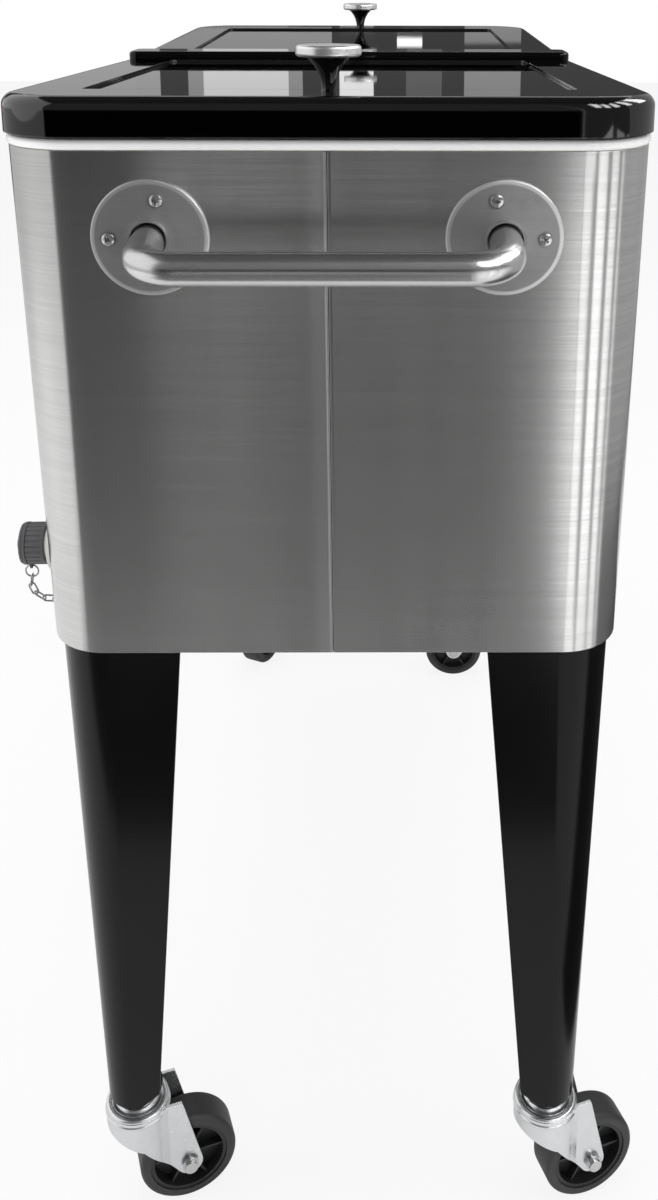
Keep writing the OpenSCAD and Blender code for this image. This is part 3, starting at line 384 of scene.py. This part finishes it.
@dataclass(frozen=True)
class RolledFlange:
    """Satin steel whose rolled rim is polished, with a painted highlight in its colour that widens the
    rim's shine.
    """

    name: str
    colour: Triple
    dull: Triple
    roughness: float
    cloud: Pattern = Pattern(even(40.0), 4.0, (0.4, 0.8))
    rim: Span = (32.2 * MM, 33.6 * MM)
    # Colour and share of the painted highlight on the rim.
    rim_highlight_colour: Triple = even(0.96)
    rim_highlight_share: float = 0.55
    rim_gloss: float = 0.14
    line_rough: float = 0.06
    cloud_rough: float = 0.05
    bump: float = 0.08
    depth: float = 0.03 * MM

    def make(self) -> bpy.types.Material:
        """Builds the material.

        Returns:
            The material.
        """
        shader = Shader(self.name)
        level = abs(shader.axis("Y")) - HANDLE_HALF_SPAN
        rise = shader.axis("Z") - HANDLE_HEIGHT
        # Rim mask: the lighter colour there is a painted highlight that widens the bead's shine; the lower
        # roughness is a polished finish.
        rim = (level * level + rise * rise).ramp(*(radius * radius for radius in self.rim))
        lines = shader.noise(Grain.ALONG_WALL.value, 3.0)
        cloud = self.cloud.on(shader)
        colour = shader.tint(lines * 0.5 + cloud * 0.5, self.colour, self.dull)
        uneven = (lines - 0.5) * self.line_rough + cloud * self.cloud_rough
        return shader.wire(
            Base_Color=shader.tint(rim * self.rim_highlight_share, colour, self.rim_highlight_colour), Metallic=1.0,
            Roughness=uneven - rim * self.rim_gloss + self.roughness,
            Normal=shader.relief(lines, self.bump, self.depth)
        )


@dataclass(frozen=True)
class Enamel:
    """Deep black gloss paint with a faint orange peel and specks of dust."""

    name: str
    colour: Triple
    roughness: float
    dust: float
    edge: float = 1.4 * MM
    gleam: float = 0.5
    ior: float = 1.75
    dust_colour: Triple = (0.16, 0.16, 0.165)
    haze: Pattern = Pattern(even(14.0), 5.0, (0.5, 0.85))
    speck: Pattern = Pattern(even(900.0), 1.0, (0.78, 0.86))
    speck_share: float = 0.12
    haze_rough: float = 0.03
    peel: float = 420.0
    bump: float = 0.02
    depth: float = 0.02 * MM

    def make(self) -> bpy.types.Material:
        """Builds the material.

        Returns:
            The material.
        """
        shader = Shader(self.name)
        peel = shader.noise(even(self.peel), 2.0)
        haze = self.haze.on(shader)
        dusty = self.speck.on(shader) * self.speck_share + haze * self.dust
        return shader.wire(
            Base_Color=shader.tint(dusty, self.colour, self.dust_colour),
            Roughness=haze * self.haze_rough + self.roughness,
            IOR=self.ior, Specular_IOR_Level=self.gleam,
            Normal=shader.relief(peel, self.bump, self.depth, self.edge)
        )


@dataclass(frozen=True)
class Moulding:
    """Moulded plastic or rubber with a fine stipple and uneven gloss."""

    name: str
    colour: Triple
    worn: Triple
    roughness: float
    stipple: float = 900.0
    patch: Pattern = Pattern(even(28.0), 4.0, (0.4, 0.8))
    patch_share: float = 0.7
    stipple_share: float = 0.2
    patch_rough: float = 0.08
    bump: float = 0.25
    depth: float = 0.06 * MM
    edge: float = 0.5 * MM

    def make(self) -> bpy.types.Material:
        """Builds the material.

        Returns:
            The material.
        """
        shader = Shader(self.name)
        stipple = shader.noise(even(self.stipple), 2.0)
        patch = self.patch.on(shader)
        wear = patch * self.patch_share + stipple * self.stipple_share
        return shader.wire(
            Base_Color=shader.tint(wear, self.colour, self.worn),
            Roughness=patch * self.patch_rough + self.roughness,
            Normal=shader.relief(stipple, self.bump, self.depth, self.edge)
        )


@dataclass(frozen=True)
class Foam:
    """Poured foam with painted shade: dark in a strip along the wrap's seams, where the gap lies in
    shadow.
    """

    name: str
    colour: Triple
    seam_shade_and_cell_tone: Triple
    seam: float = 4.0 * MM
    cell: float = 300.0
    cell_share: float = 0.3
    roughness: float = 0.9
    bump: float = 0.25
    depth: float = 0.4 * MM

    def make(self) -> bpy.types.Material:
        """Builds the material.

        Returns:
            The material.
        """
        shader = Shader(self.name)
        cells = shader.noise(even(self.cell), 2.0)
        # Painted shade: dark within the seam's reach of y nought; elsewhere the cells vary the tone.
        outside_seam_shade = abs(shader.axis("Y")).above(self.seam)
        shade = outside_seam_shade * (cells * self.cell_share + (1.0 - self.cell_share))
        return shader.wire(
            Base_Color=shader.tint(shade, self.seam_shade_and_cell_tone, self.colour), Roughness=self.roughness,
            Normal=shader.relief(cells, self.bump, self.depth)
        )


class Finishes:
    """Every finish of the cooler, built once."""

    def __init__(self) -> None:
        """Builds the materials."""
        self.sheet = BrushedSheet("steel_sheet", (0.71, 0.71, 0.705), (0.53, 0.53, 0.525), 0.20).make()
        self.rim = Moulding("rim_plastic", even(0.93), even(0.88), 0.24, 500.0).make()
        self.satin = Metal("satin_steel", even(0.72), even(0.58), 0.24, Grain.ALONG_TUBE).make()
        self.flange = RolledFlange("flange_steel", even(0.36), even(0.27), 0.60).make()
        self.turned = Metal("turned_steel", even(0.97), even(0.88), 0.34, Grain.ROUND).make()
        zinc = Metal("zinc_plate", (0.83, 0.84, 0.85), (0.67, 0.68, 0.69), 0.24, smudge_rough=0.10)
        self.zinc = zinc.make()
        self.screw = Metal("screw_steel", even(0.70), even(0.52), 0.24).make()
        self.enamel = Enamel("black_enamel", even(0.0006), 0.03, 0.004).make()
        self.leg_enamel = Enamel("leg_enamel", (0.0020, 0.0020, 0.0021), 0.17, 0.008, gleam=0.10).make()
        self.bar_enamel = Enamel("bar_enamel", even(0.0006), 0.06, 0.004, gleam=0.15).make()
        self.stem = Enamel("black_moulding", (0.003, 0.003, 0.0032), 0.09, 0.01, 0.4 * MM).make()
        self.tub = Moulding("tub_white", (0.80, 0.81, 0.81), (0.74, 0.75, 0.75), 0.38, 500.0).make()
        # The foam's dark colour is painted shade along the wrap's seams and the tone of its cells.
        self.foam = Foam("foam", (0.80, 0.72, 0.48), even(0.02)).make()
        self.seal = Moulding("seal_rubber", (0.025, 0.025, 0.026), even(0.05), 0.6).make()
        self.core = Moulding("wheel_core", (0.008, 0.008, 0.0085), (0.020, 0.020, 0.021), 0.42).make()
        tyre = Moulding("tyre_rubber", (0.018, 0.018, 0.019), (0.042, 0.042, 0.044), 0.45, 1200.0)
        self.tyre = tyre.make()
        self.spout = Moulding("spout_plastic", (0.74, 0.73, 0.70), (0.62, 0.61, 0.58), 0.45).make()
        charcoal = Moulding("charcoal_plastic", (0.085, 0.085, 0.09), (0.12, 0.12, 0.125), 0.5)
        self.charcoal = charcoal.make()


def dress(finish: bpy.types.Material, *nodes: str) -> None:
    """Gives a finish to CAD nodes.

    Args:
        finish: the material.
        nodes: names of the nodes.
    """
    for name in nodes:
        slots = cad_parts[name].data.materials
        slots.clear()
        slots.append(finish)
        LOG.info("%s: %s", name, finish.name)


def make_object(name: str, form: bmesh.types.BMesh) -> bpy.types.Object:
    """Turns a bmesh into an object of the scene.

    Args:
        name: name of the object and its mesh.
        form: its shape in metres; it is freed.

    Returns:
        The object, at the origin.
    """
    mesh = bpy.data.meshes.new(name)
    form.to_mesh(mesh)
    form.free()
    made = bpy.data.objects.new(name, mesh)
    bpy.context.scene.collection.objects.link(made)
    return made


def place_piece(name: str, form: bmesh.types.BMesh, finish: bpy.types.Material) -> bpy.types.Object:
    """Turns a bmesh into a finished piece.

    Args:
        name: name of the piece.
        form: its shape in metres; it is freed.
        finish: its material.

    Returns:
        The piece, at the origin.
    """
    bmesh.ops.remove_doubles(form, verts=form.verts, dist=MERGE_GAP)
    bmesh.ops.recalc_face_normals(form, faces=form.faces)
    piece = make_object(name, form)
    piece.data.materials.append(finish)
    piece.data.shade_smooth()
    piece.data.set_sharp_from_angle(angle=SHARP_ANGLE)
    LOG.info("%s: %d faces", name, len(piece.data.polygons))
    return piece


def wall_frame(origin: Sequence[float], outward: Sequence[float], level: Sequence[float]) -> Matrix:
    """Local frame on a wall: x level along it, z out of it and y square to both.

    Args:
        origin: point on the wall, in metres.
        outward: direction out of the wall.
        level: level direction along the wall.

    Returns:
        The matrix.
    """
    out = Vector(outward).normalized()
    along = Vector(level).normalized()
    turn = Matrix((along, out.cross(along), out)).transposed().to_4x4()
    return Matrix.Translation(Vector(origin)) @ turn


@dataclass
class Tub:
    """Steel wrap, foam, liner, bottom pan and rim."""

    finishes: Finishes

    def dress(self) -> None:
        """Gives the tub's nodes their finishes."""
        dress(self.finishes.sheet, "wrap_front", "wrap_back", "bottom_pan")
        dress(self.finishes.rim, "rim_trim")
        dress(self.finishes.tub, "tub_liner")
        dress(self.finishes.foam, "foam_jacket")


@dataclass
class Lids:
    """Both lids with their linings, seals and knobs, and the centre bar."""

    finishes: Finishes

    def dress(self) -> None:
        """Gives the lids' nodes their finishes."""
        for side in SIDES:
            dress(self.finishes.enamel, f"lid_{side}")
            dress(self.finishes.tub, f"lid_liner_{side}")
            dress(self.finishes.seal, f"lid_gasket_{side}")
            dress(self.finishes.stem, f"knob_stem_{side}")
            dress(self.finishes.turned, f"knob_cap_{side}")
        dress(self.finishes.bar_enamel, "hinge_bar")
        dress(self.finishes.screw, "hinge_pins", "bar_screws")


@dataclass
class CrossScrew:
    """Pan-head screw with a cross recess."""

    head_r: float = 4.0 * MM
    head_h: float = 2.6 * MM
    side_share: float = 0.45
    dome_r: float = 8.0 * MM
    dome_share: float = 0.94
    dome_rings: int = 7
    segments: int = 32
    weld_gap: float = 0.01 * MM
    slot_w: float = 1.5 * MM
    slot_l: float = 5.4 * MM
    slot_d: float = 1.8 * MM
    slot_taper: Triple = (0.55, 0.8, 1.0)

    def head(self) -> bmesh.types.BMesh:
        """Spins the head's profile.

        Returns:
            The head, with its seat at z nought.
        """
        form = bmesh.new()
        places = [(self.head_r, 0.0), (self.head_r, self.head_h * self.side_share)]
        for step in range(self.dome_rings, -1, -1):
            x = self.head_r * self.dome_share * step / self.dome_rings
            places.append((x, self.head_h - self.dome_r + math.sqrt(self.dome_r ** 2 - x ** 2)))
        chain = [form.verts.new((x, 0.0, z)) for x, z in places]
        edges = [form.edges.new(pair) for pair in zip(chain, chain[1:])]
        bmesh.ops.spin(
            form, geom=chain + edges, cent=(0, 0, 0), axis=(0, 0, 1), dvec=(0, 0, 0),
            angle=math.tau, steps=self.segments, use_merge=True
        )
        bmesh.ops.remove_doubles(form, verts=form.verts, dist=self.weld_gap)
        bmesh.ops.recalc_face_normals(form, faces=form.faces)
        return form

    def cutter(self) -> bmesh.types.BMesh:
        """Crosses two wedges that cut the recess.

        Returns:
            The wedges, at the top of the head.
        """
        form = bmesh.new()
        for turn in (0.0, QUARTER):
            made = bmesh.ops.create_cube(form, size=1.0)["verts"]
            bmesh.ops.scale(form, vec=(self.slot_l, self.slot_w, self.slot_d * 2.0), verts=made)
            low = [v for v in made if v.co.z < 0.0]
            bmesh.ops.scale(form, vec=self.slot_taper, verts=low)
            bmesh.ops.rotate(form, cent=(0, 0, 0), matrix=Matrix.Rotation(turn, 3, "Z"), verts=made)
            bmesh.ops.translate(form, vec=(0, 0, self.head_h), verts=made)
        return form

    def mesh(self) -> bpy.types.Mesh:
        """Cuts the recess out of the head.

        Returns:
            The finished mesh at the origin.
        """
        head = make_object("head", self.head())
        cutter = make_object("cutter", self.cutter())
        cut = head.modifiers.new("recess", "BOOLEAN")
        cut.operation = "DIFFERENCE"
        cut.solver = "EXACT"
        cut.use_self = True
        cut.object = cutter
        graph = bpy.context.evaluated_depsgraph_get()
        made = bpy.data.meshes.new_from_object(head.evaluated_get(graph))
        for part in (head, cutter):
            bpy.data.objects.remove(part)
        return made

    def build(self, name: str, places: Sequence[tuple[Matrix, float]],
              finish: bpy.types.Material) -> bpy.types.Object:
        """Sets copies of the screw at their places.

        Args:
            name: name of the piece.
            places: seat frame and turn in degrees of each screw.
            finish: material of the screws.

        Returns:
            One object with all the screws.
        """
        one = self.mesh()
        form = bmesh.new()
        for seat, turn in places:
            start = len(form.verts)
            form.from_mesh(one)
            form.verts.ensure_lookup_table()
            spin = Matrix.Rotation(math.radians(turn), 4, "Z")
            bmesh.ops.transform(form, matrix=seat @ spin, verts=form.verts[start:])
        return place_piece(name, form, finish)


@dataclass
class Handles:
    """End handles with their flanges and cross-head screws."""

    finishes: Finishes
    end_x: float = 415.066 * MM
    screw_r: float = 24.0 * MM
    screw_step: float = math.radians(103.0)
    seat: float = 4.4 * MM
    first_turn: float = 17.0
    turn_step: float = 31.0

    def seats(self) -> list[tuple[Matrix, float]]:
        """Places the twelve screws.

        Returns:
            The seat frame of each screw, with the turn of its recess in degrees.
        """
        places = []
        turn = self.first_turn
        for end in (-1, 1):
            out = (end * math.cos(WALL_LEAN), 0.0, -math.sin(WALL_LEAN))
            for side in (-1, 1):
                centre = (end * self.end_x, side * HANDLE_HALF_SPAN, HANDLE_HEIGHT)
                wall = wall_frame(centre, out, (0.0, float(end), 0.0))
                for step in (-1, 0, 1):
                    angle = step * self.screw_step
                    level = end * side * self.screw_r * math.cos(angle)
                    spot = Matrix.Translation((level, self.screw_r * math.sin(angle), self.seat))
                    places.append((wall @ spot, turn))
                    turn += self.turn_step
        return places

    def build(self) -> None:
        """Makes the screws and dresses the handles."""
        screws = CrossScrew().build("handle_screw_heads", self.seats(), self.finishes.screw)
        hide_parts("handle_screws")
        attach(screws, "cooler")
        for side in SIDES:
            dress(self.finishes.satin, f"handle_bar_{side}")
            dress(self.finishes.flange, f"handle_flanges_{side}")


@dataclass
class Legs:
    """Four tapered legs and their bolts."""

    finishes: Finishes

    def dress(self) -> None:
        """Gives the legs' nodes their finishes."""
        dress(self.finishes.leg_enamel, *(f"leg_{corner}" for corner in CORNERS))
        dress(self.finishes.screw, "leg_bolts")


@dataclass
class Casters:
    """Four swivel casters."""

    finishes: Finishes

    def dress(self) -> None:
        """Gives the casters' nodes their finishes."""
        for corner in CORNERS:
            dress(self.finishes.zinc, f"fork_{corner}", f"caster_stem_{corner}")
            dress(self.finishes.screw, f"axle_{corner}")
            dress(self.finishes.core, f"wheel_{corner}")
            dress(self.finishes.tyre, f"tyre_{corner}")


@dataclass
class Drain:
    """Drain spout, cap, ring and the slack chain that holds the cap.

    The chain's places are given down the wall and out of it from the drain's centre.
    """

    finishes: Finishes
    origin: Triple = (-0.350, 0.192898, 0.554)
    wire_r: float = 0.65 * MM
    wire_sides: int = 12
    ring_steps: int = 48
    link_w: float = 4.4 * MM
    middle_gap: float = 0.0001 * MM
    lap: float = 2.0 * MM
    loop_r: float = 4.4 * MM
    loop_wire_r: float = 0.6 * MM
    loop_at: Span = (21.2 * MM, 21.2 * MM)
    route: tuple[Span, ...] = (
        (24.8 * MM, 21.2 * MM), (31.7 * MM, 22.6 * MM), (38.2 * MM, 20.05 * MM),
        (42.4 * MM, 14.5 * MM), (43.0 * MM, 7.5 * MM)
    )
    twist: tuple[float, ...] = (0.0, 90.0, 0.0, 90.0)
    still_reach: float = 1.0 * MM
    moving_reach: float = 2.0 * MM

    def wall(self) -> Matrix:
        """Frame at the drain: x level, y down the wall and z out of it."""
        out = (0.0, math.cos(WALL_LEAN), -math.sin(WALL_LEAN))
        return wall_frame(self.origin, out, (1.0, 0.0, 0.0))

    def ring(self, form: bmesh.types.BMesh, radius: float, wire: float) -> list[bmesh.types.BMVert]:
        """Spins a wire ring in the xy plane.

        Args:
            form: bmesh that takes the ring.
            radius: radius of the ring.
            wire: radius of the wire.

        Returns:
            The new vertices.
        """
        start = len(form.verts)
        made = bmesh.ops.create_circle(form, segments=self.wire_sides, radius=wire)["verts"]
        bmesh.ops.rotate(form, cent=(0, 0, 0), matrix=Matrix.Rotation(QUARTER, 3, "X"), verts=made)
        bmesh.ops.translate(form, vec=(radius, 0, 0), verts=made)
        edges = list({e for v in made for e in v.link_edges})
        bmesh.ops.spin(
            form, geom=made + edges, cent=(0, 0, 0), axis=(0, 0, 1), dvec=(0, 0, 0),
            angle=math.tau, steps=self.ring_steps, use_merge=True
        )
        form.verts.ensure_lookup_table()
        return form.verts[start:]

    def link(self, form: bmesh.types.BMesh, length: float) -> list[bmesh.types.BMVert]:
        """Makes one oblong link along x by drawing a ring apart.

        Args:
            form: bmesh that takes the link.
            length: length between the wire's middles at both ends.

        Returns:
            The new vertices.
        """
        verts = self.ring(form, self.link_w / 2.0, self.wire_r)
        shift = (length - self.link_w) / 2.0
        for sign in (-1.0, 1.0):
            half = [v for v in verts if v.co.x * sign > self.middle_gap]
            bmesh.ops.translate(form, vec=(sign * shift, 0, 0), verts=half)
        return verts

    def chain(self) -> bpy.types.Object:
        """Lays the loop and the links along their route.

        Returns:
            The chain.
        """
        form = bmesh.new()
        wall = self.wall()
        loop = self.ring(form, self.loop_r, self.loop_wire_r)
        place = Matrix.Translation((0.0, *self.loop_at)) @ Matrix.Rotation(QUARTER, 4, "Y")
        bmesh.ops.transform(form, matrix=wall @ place, verts=loop)
        for start, end, twist in zip(self.route, self.route[1:], self.twist):
            step = (end[0] - start[0], end[1] - start[1])
            verts = self.link(form, math.hypot(*step) + self.lap)
            middle = Matrix.Translation((0.0, (start[0] + end[0]) / 2.0, (start[1] + end[1]) / 2.0))
            slope = Matrix.Rotation(math.atan2(step[1], step[0]), 4, "X")
            turn = Matrix.Rotation(QUARTER, 4, "Z") @ Matrix.Rotation(math.radians(twist), 4, "X")
            bmesh.ops.transform(form, matrix=wall @ middle @ slope @ turn, verts=verts)
        return place_piece("drain_chain_links", form, self.finishes.screw)

    def build(self) -> None:
        """Makes the chain and dresses the drain."""
        chain = self.chain()
        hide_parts("drain_chain")
        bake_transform(chain)
        dress(self.finishes.screw, "chain_eyelet")
        dress(self.finishes.spout, "drain_spout", "drain_nut")
        dress(self.finishes.charcoal, "drain_cap", "cap_ring")
        dress(self.finishes.seal, "drain_gasket")


@dataclass
class Opener:
    """Bottle opener and cap catcher on the front."""

    finishes: Finishes

    def dress(self) -> None:
        """Gives the opener's nodes their finishes."""
        dress(self.finishes.satin, "bottle_opener")
        dress(self.finishes.sheet, "cap_catcher")
        dress(self.finishes.screw, "opener_screws")


@dataclass(frozen=True)
class Card:
    """Plain panel round the studio that only mirrors see."""

    name: str
    low: Triple
    high: Triple
    glow: float

    def build(self) -> None:
        """Makes the panel and hides it from the camera, plain light, shadows and transmission."""
        form = bmesh.new()
        made = bmesh.ops.create_cube(form, size=1.0)["verts"]
        low, high = Vector(self.low), Vector(self.high)
        bmesh.ops.scale(form, vec=tuple(high - low), verts=made)
        bmesh.ops.translate(form, vec=tuple((low + high) / 2.0), verts=made)
        card = make_object(self.name, form)
        shader = Shader(self.name)
        glow = shader.add("ShaderNodeEmission", None, {"Color": WHITE, "Strength": self.glow})
        card.data.materials.append(shader.show(glow))
        card.visible_camera = False
        card.visible_diffuse = False
        card.visible_shadow = False
        card.visible_transmission = False


class Plane(Enum):
    """Thin slabs in which the cards lie: number of the axis, low face and high face in metres."""

    NEAR = (0, -1.16, -1.15)
    NEAR_POST = (0, -1.14, -1.13)
    NEAR_SPOT = (0, -1.12, -1.11)
    FAR = (0, 3.36, 3.38)
    FAR_FRAME = (0, 3.385, 3.39)
    FAR_WALL = (0, 3.40, 3.42)
    RIGHT = (1, -1.02, -1.0)
    RIGHT_SPOT = (1, -0.99, -0.98)
    RIGHT_POST = (1, -0.96, -0.95)
    CORNER_SPOT = (1, -0.94, -0.93)
    FLOOR = (2, 0.004, 0.006)
    CEILING = (2, 2.0, 2.01)

    def card(self, name: str, first: Span, second: Span, glow: float) -> Card:
        """Cuts one card out of the slab.

        Args:
            name: name of the card.
            first: where it lies along the first of the other two axes.
            second: where it lies along the second of them.
            glow: strength of its light.

        Returns:
            The card.
        """
        axis, *faces = self.value
        spans = [first, second]
        spans.insert(axis, tuple(faces))
        return Card(name, tuple(span[0] for span in spans), tuple(span[1] for span in spans), glow)


@dataclass(frozen=True)
class Surround:
    """Cards that the steel and the lids mirror, side by side; places are in metres."""

    near_y: Span = (-0.262, 0.85)
    wall_z: Span = (0.03, 0.735)
    lower_z: Span = (0.03, 0.62)
    upper_z: Span = (0.62, 0.735)
    right_x: Span = (-0.59, 2.4)
    post_y: tuple[float, ...] = (-0.258, -0.323, -0.372, -0.515, -0.605, -0.95)
    post_y_glow: tuple[float, ...] = (1.5, 0.22, 1.6, 0.25, 1.7)
    post_x: tuple[float, ...] = (-1.13, -0.965, -0.735, -0.655, -0.59)
    post_x_glow: tuple[float, ...] = (0.25, 1.5, 0.25, 1.2)
    post_z: Span = (0.02, 0.76)
    above_z: Span = (0.76, 2.0)
    above_glow: float = 0.14
    spot_z: Span = (1.25, 1.95)
    spot_glow: float = 8.0
    far_z: Span = (0.95, 1.14)

    def near(self) -> list[Card]:
        """Cards behind the camera, which the near end mirrors.

        Returns:
            The cards.
        """
        strips = (
            ("a", (0.26, 0.85), self.wall_z, 0.105),
            ("b", (0.14, 0.26), self.lower_z, 0.19),
            ("c", (-0.195, 0.14), self.lower_z, 0.153),
            ("top_b", (0.03, 0.26), self.upper_z, 0.46),
            ("top_c", (-0.195, 0.03), self.upper_z, 0.36),
            ("d", (-0.214, -0.195), self.wall_z, 0.23),
            ("e", (-0.232, -0.214), self.wall_z, 0.29),
            ("f", (-0.256, -0.232), self.wall_z, 0.34),
            ("black", self.near_y, (0.735, 0.93), 0.0),
            ("high", self.near_y, (0.93, 2.0), 0.17),
        )
        cards = [Plane.NEAR.card(f"card_near_{name}", y, z, glow) for name, y, z, glow in strips]
        return cards + [Plane.FLOOR.card("card_near_floor", (-1.15, -0.80), self.near_y, 0.13)]

    def right(self) -> list[Card]:
        """Ceiling and cards on the right-hand side, which the lids and the front mirror.

        Returns:
            The cards.
        """
        return [
            Plane.CEILING.card("card_ceiling", (-1.16, 1.2), (-0.95, 0.85), 0.08),
            Plane.RIGHT.card("card_right", self.right_x, (0.20, 2.0), 0.42),
            Plane.RIGHT.card("card_right_low", self.right_x, (0.02, 0.20), 0.06),
            Plane.FLOOR.card("card_right_floor", (-0.56, 0.50), (-1.0, -0.32), 0.05),
        ]

    def posts(self) -> list[Card]:
        """Bright and dim strips that draw the upright lines on the right-hand corner.

        Returns:
            The cards.
        """
        strips = [
            (plane, (min(pair), max(pair)), glow)
            for plane, edges, glows in (
                (Plane.NEAR_POST, self.post_y, self.post_y_glow),
                (Plane.RIGHT_POST, self.post_x, self.post_x_glow),
            )
            for pair, glow in zip(zip(edges, edges[1:]), glows)
        ]
        cards = [
            plane.card(f"post_{letter}", span, self.post_z, glow)
            for letter, (plane, span, glow) in zip("abcdefghi", strips)
        ]
        near_span = (self.post_y[-1], self.near_y[0])
        right_span = (self.post_x[0], self.post_x[-1])
        return cards + [
            Plane.NEAR_POST.card("post_top_a", near_span, self.above_z, self.above_glow),
            Plane.RIGHT_POST.card("post_top_b", right_span, self.above_z, self.above_glow),
        ]

    def spots(self) -> list[Card]:
        """Small bright cards that make the glints along the lid's right-hand corner.

        Returns:
            The cards.
        """
        places = (
            ("a", Plane.NEAR_SPOT, (-0.59, -0.44)),
            ("b", Plane.NEAR_SPOT, (-0.86, -0.70)),
            ("c", Plane.CORNER_SPOT, (-0.98, -0.80)),
            ("d", Plane.RIGHT_SPOT, (-0.62, -0.40)),
            ("e", Plane.RIGHT_SPOT, (-0.15, 0.25)),
        )
        return [
            plane.card(f"spot_{letter}", span, self.spot_z, self.spot_glow)
            for letter, plane, span in places
        ]

    def far(self) -> list[Card]:
        """Cards beyond the far end, which the lids mirror.

        Returns:
            The cards.
        """
        places = (
            ("wall", Plane.FAR_WALL, (-3.0, 3.0), (0.02, 2.2), 0.07),
            ("left", Plane.FAR, (0.88, 2.8), (0.95, 1.4), 0.46),
            ("pane", Plane.FAR, (0.80, 0.88), (0.95, 1.3), 0.45),
            ("frame", Plane.FAR_FRAME, (0.287, 0.70), self.far_z, 0.36),
            ("window", Plane.FAR, (0.337, 0.641), self.far_z, 0.82),
            ("glow", Plane.FAR, (0.18, 0.80), (1.15, 1.5), 0.40),
            ("door", Plane.FAR, (0.03, 0.152), self.far_z, 1.1),
            ("lamp", Plane.FAR, (-0.145, -0.055), (1.182, 1.212), 1.8),
            ("dim", Plane.FAR, (-0.216, -0.088), self.far_z, 0.16),
            ("strip", Plane.FAR, (-0.50, -0.298), (0.95, 1.2), 0.34),
        )
        return [plane.card(f"far_{name}", y, z, glow) for name, plane, y, z, glow in places]

    def build(self) -> None:
        """Makes every card."""
        for card in self.near() + self.right() + self.posts() + self.spots() + self.far():
            card.build()


@dataclass(frozen=True)
class Lamp:
    """Soft lamp that mirrors don't see."""

    name: str
    place: Triple
    aim: Triple
    size: Span
    power: float

    def build(self) -> None:
        """Hangs the lamp."""
        data = bpy.data.lights.new(self.name, "AREA")
        data.shape = "RECTANGLE"
        data.size, data.size_y = self.size
        data.energy = self.power
        lamp = bpy.data.objects.new(self.name, data)
        lamp.location = self.place
        lamp.rotation_euler = (Vector(self.aim) - Vector(self.place)).to_track_quat("-Z", "Y").to_euler()
        lamp.visible_glossy = False
        bpy.context.scene.collection.objects.link(lamp)


@dataclass(frozen=True)
class Studio:
    """Camera, pale floor, white surround, cards and soft lamps."""

    eye: Triple = (-1.1364, -0.0388, 0.9455)
    yaw: float = math.radians(-0.43)
    pitch: float = math.radians(-14.98)
    roll: float = math.radians(-0.15)
    lens: float = 36.981
    sensor: float = 36.0
    shift: Span = (-0.0603, -0.2569)
    nearest: float = 10.0 * MM
    floor_size: float = 9.0
    floor_colour: Triple = even(0.86)
    floor_glow: float = 0.85
    plain_light: float = 0.55
    lamps: tuple[Lamp, ...] = (
        Lamp("lamp_above", (0.0, 0.0, 3.0), (0.0, 0.0, 0.8), (2.4, 2.0), 38.0),
        Lamp("lamp_left", (-0.6, 2.6, 1.4), (0.0, 0.0, 0.6), (1.6, 1.8), 26.0),
        Lamp("lamp_end", (-2.8, 0.0, 1.1), (-0.4, 0.0, 0.7), (1.8, 1.4), 12.0),
        Lamp("lamp_right", (-0.6, -2.6, 1.4), (0.0, 0.0, 0.6), (1.6, 1.8), 22.0),
    )

    def build_camera(self) -> None:
        """Sets the camera at the photograph's place."""
        reach = math.cos(self.pitch)
        ahead = Vector((math.cos(self.yaw) * reach, math.sin(self.yaw) * reach, math.sin(self.pitch)))
        right = ahead.cross(Vector((0.0, 0.0, 1.0))).normalized()
        rise = right.cross(ahead)
        across = right * math.cos(self.roll) - rise * math.sin(self.roll)
        upward = right * math.sin(self.roll) + rise * math.cos(self.roll)
        data = bpy.data.cameras.new("camera")
        data.lens = self.lens
        data.sensor_width = self.sensor
        data.sensor_fit = "AUTO"
        data.shift_x, data.shift_y = self.shift
        data.clip_start = self.nearest
        camera = bpy.data.objects.new("camera", data)
        turn = Matrix((across, upward, -ahead)).transposed().to_4x4()
        camera.matrix_world = Matrix.Translation(self.eye) @ turn
        bpy.context.scene.collection.objects.link(camera)
        bpy.context.scene.camera = camera

    def build_floor(self) -> None:
        """Lays a pale floor that keeps a soft shadow."""
        form = bmesh.new()
        bmesh.ops.create_grid(form, x_segments=1, y_segments=1, size=self.floor_size)
        floor = make_object("floor", form)
        shader = Shader("floor")
        matt = shader.add("ShaderNodeBsdfDiffuse", None, {"Color": self.floor_colour})
        glow = shader.add("ShaderNodeEmission", None, {"Color": WHITE, "Strength": 1.0})
        seen = shader.add("ShaderNodeLightPath", output="Is Camera Ray")
        mixed = shader.add("ShaderNodeMixShader", None, {0: seen * self.floor_glow, 1: matt, 2: glow})
        floor.data.materials.append(shader.show(mixed))

    def build_world(self) -> None:
        """Sets a white surround for the camera and mirrors, and a softer one for plain light."""
        world = bpy.data.worlds.new("surround")
        bpy.context.scene.world = world
        world.use_nodes = True
        tree = Tree(world.node_tree)
        seen = tree.add("ShaderNodeLightPath", output="Is Camera Ray")
        for ray in ("Is Glossy Ray", "Is Transmission Ray"):
            seen = seen.larger(tree.add("ShaderNodeLightPath", output=ray))
        background = tree.nodes["Background"]
        tree.put(background.inputs["Color"], WHITE)
        tree.put(background.inputs["Strength"], seen * (1.0 - self.plain_light) + self.plain_light)

    def build(self) -> None:
        """Builds the studio."""
        bpy.context.scene.view_settings.view_transform = "Standard"
        self.build_camera()
        self.build_floor()
        self.build_world()
        Surround().build()
        for lamp in self.lamps:
            lamp.build()


def main() -> None:
    """Builds the studio, the small hardware and the cooler's finishes."""
    logging.basicConfig(level=logging.INFO, format="%(message)s")
    Studio().build()
    finishes = Finishes()
    Tub(finishes).dress()
    Lids(finishes).dress()
    Handles(finishes).build()
    Legs(finishes).dress()
    Casters(finishes).dress()
    Drain(finishes).build()
    Opener(finishes).dress()


if __name__ == "__main__":
    main()
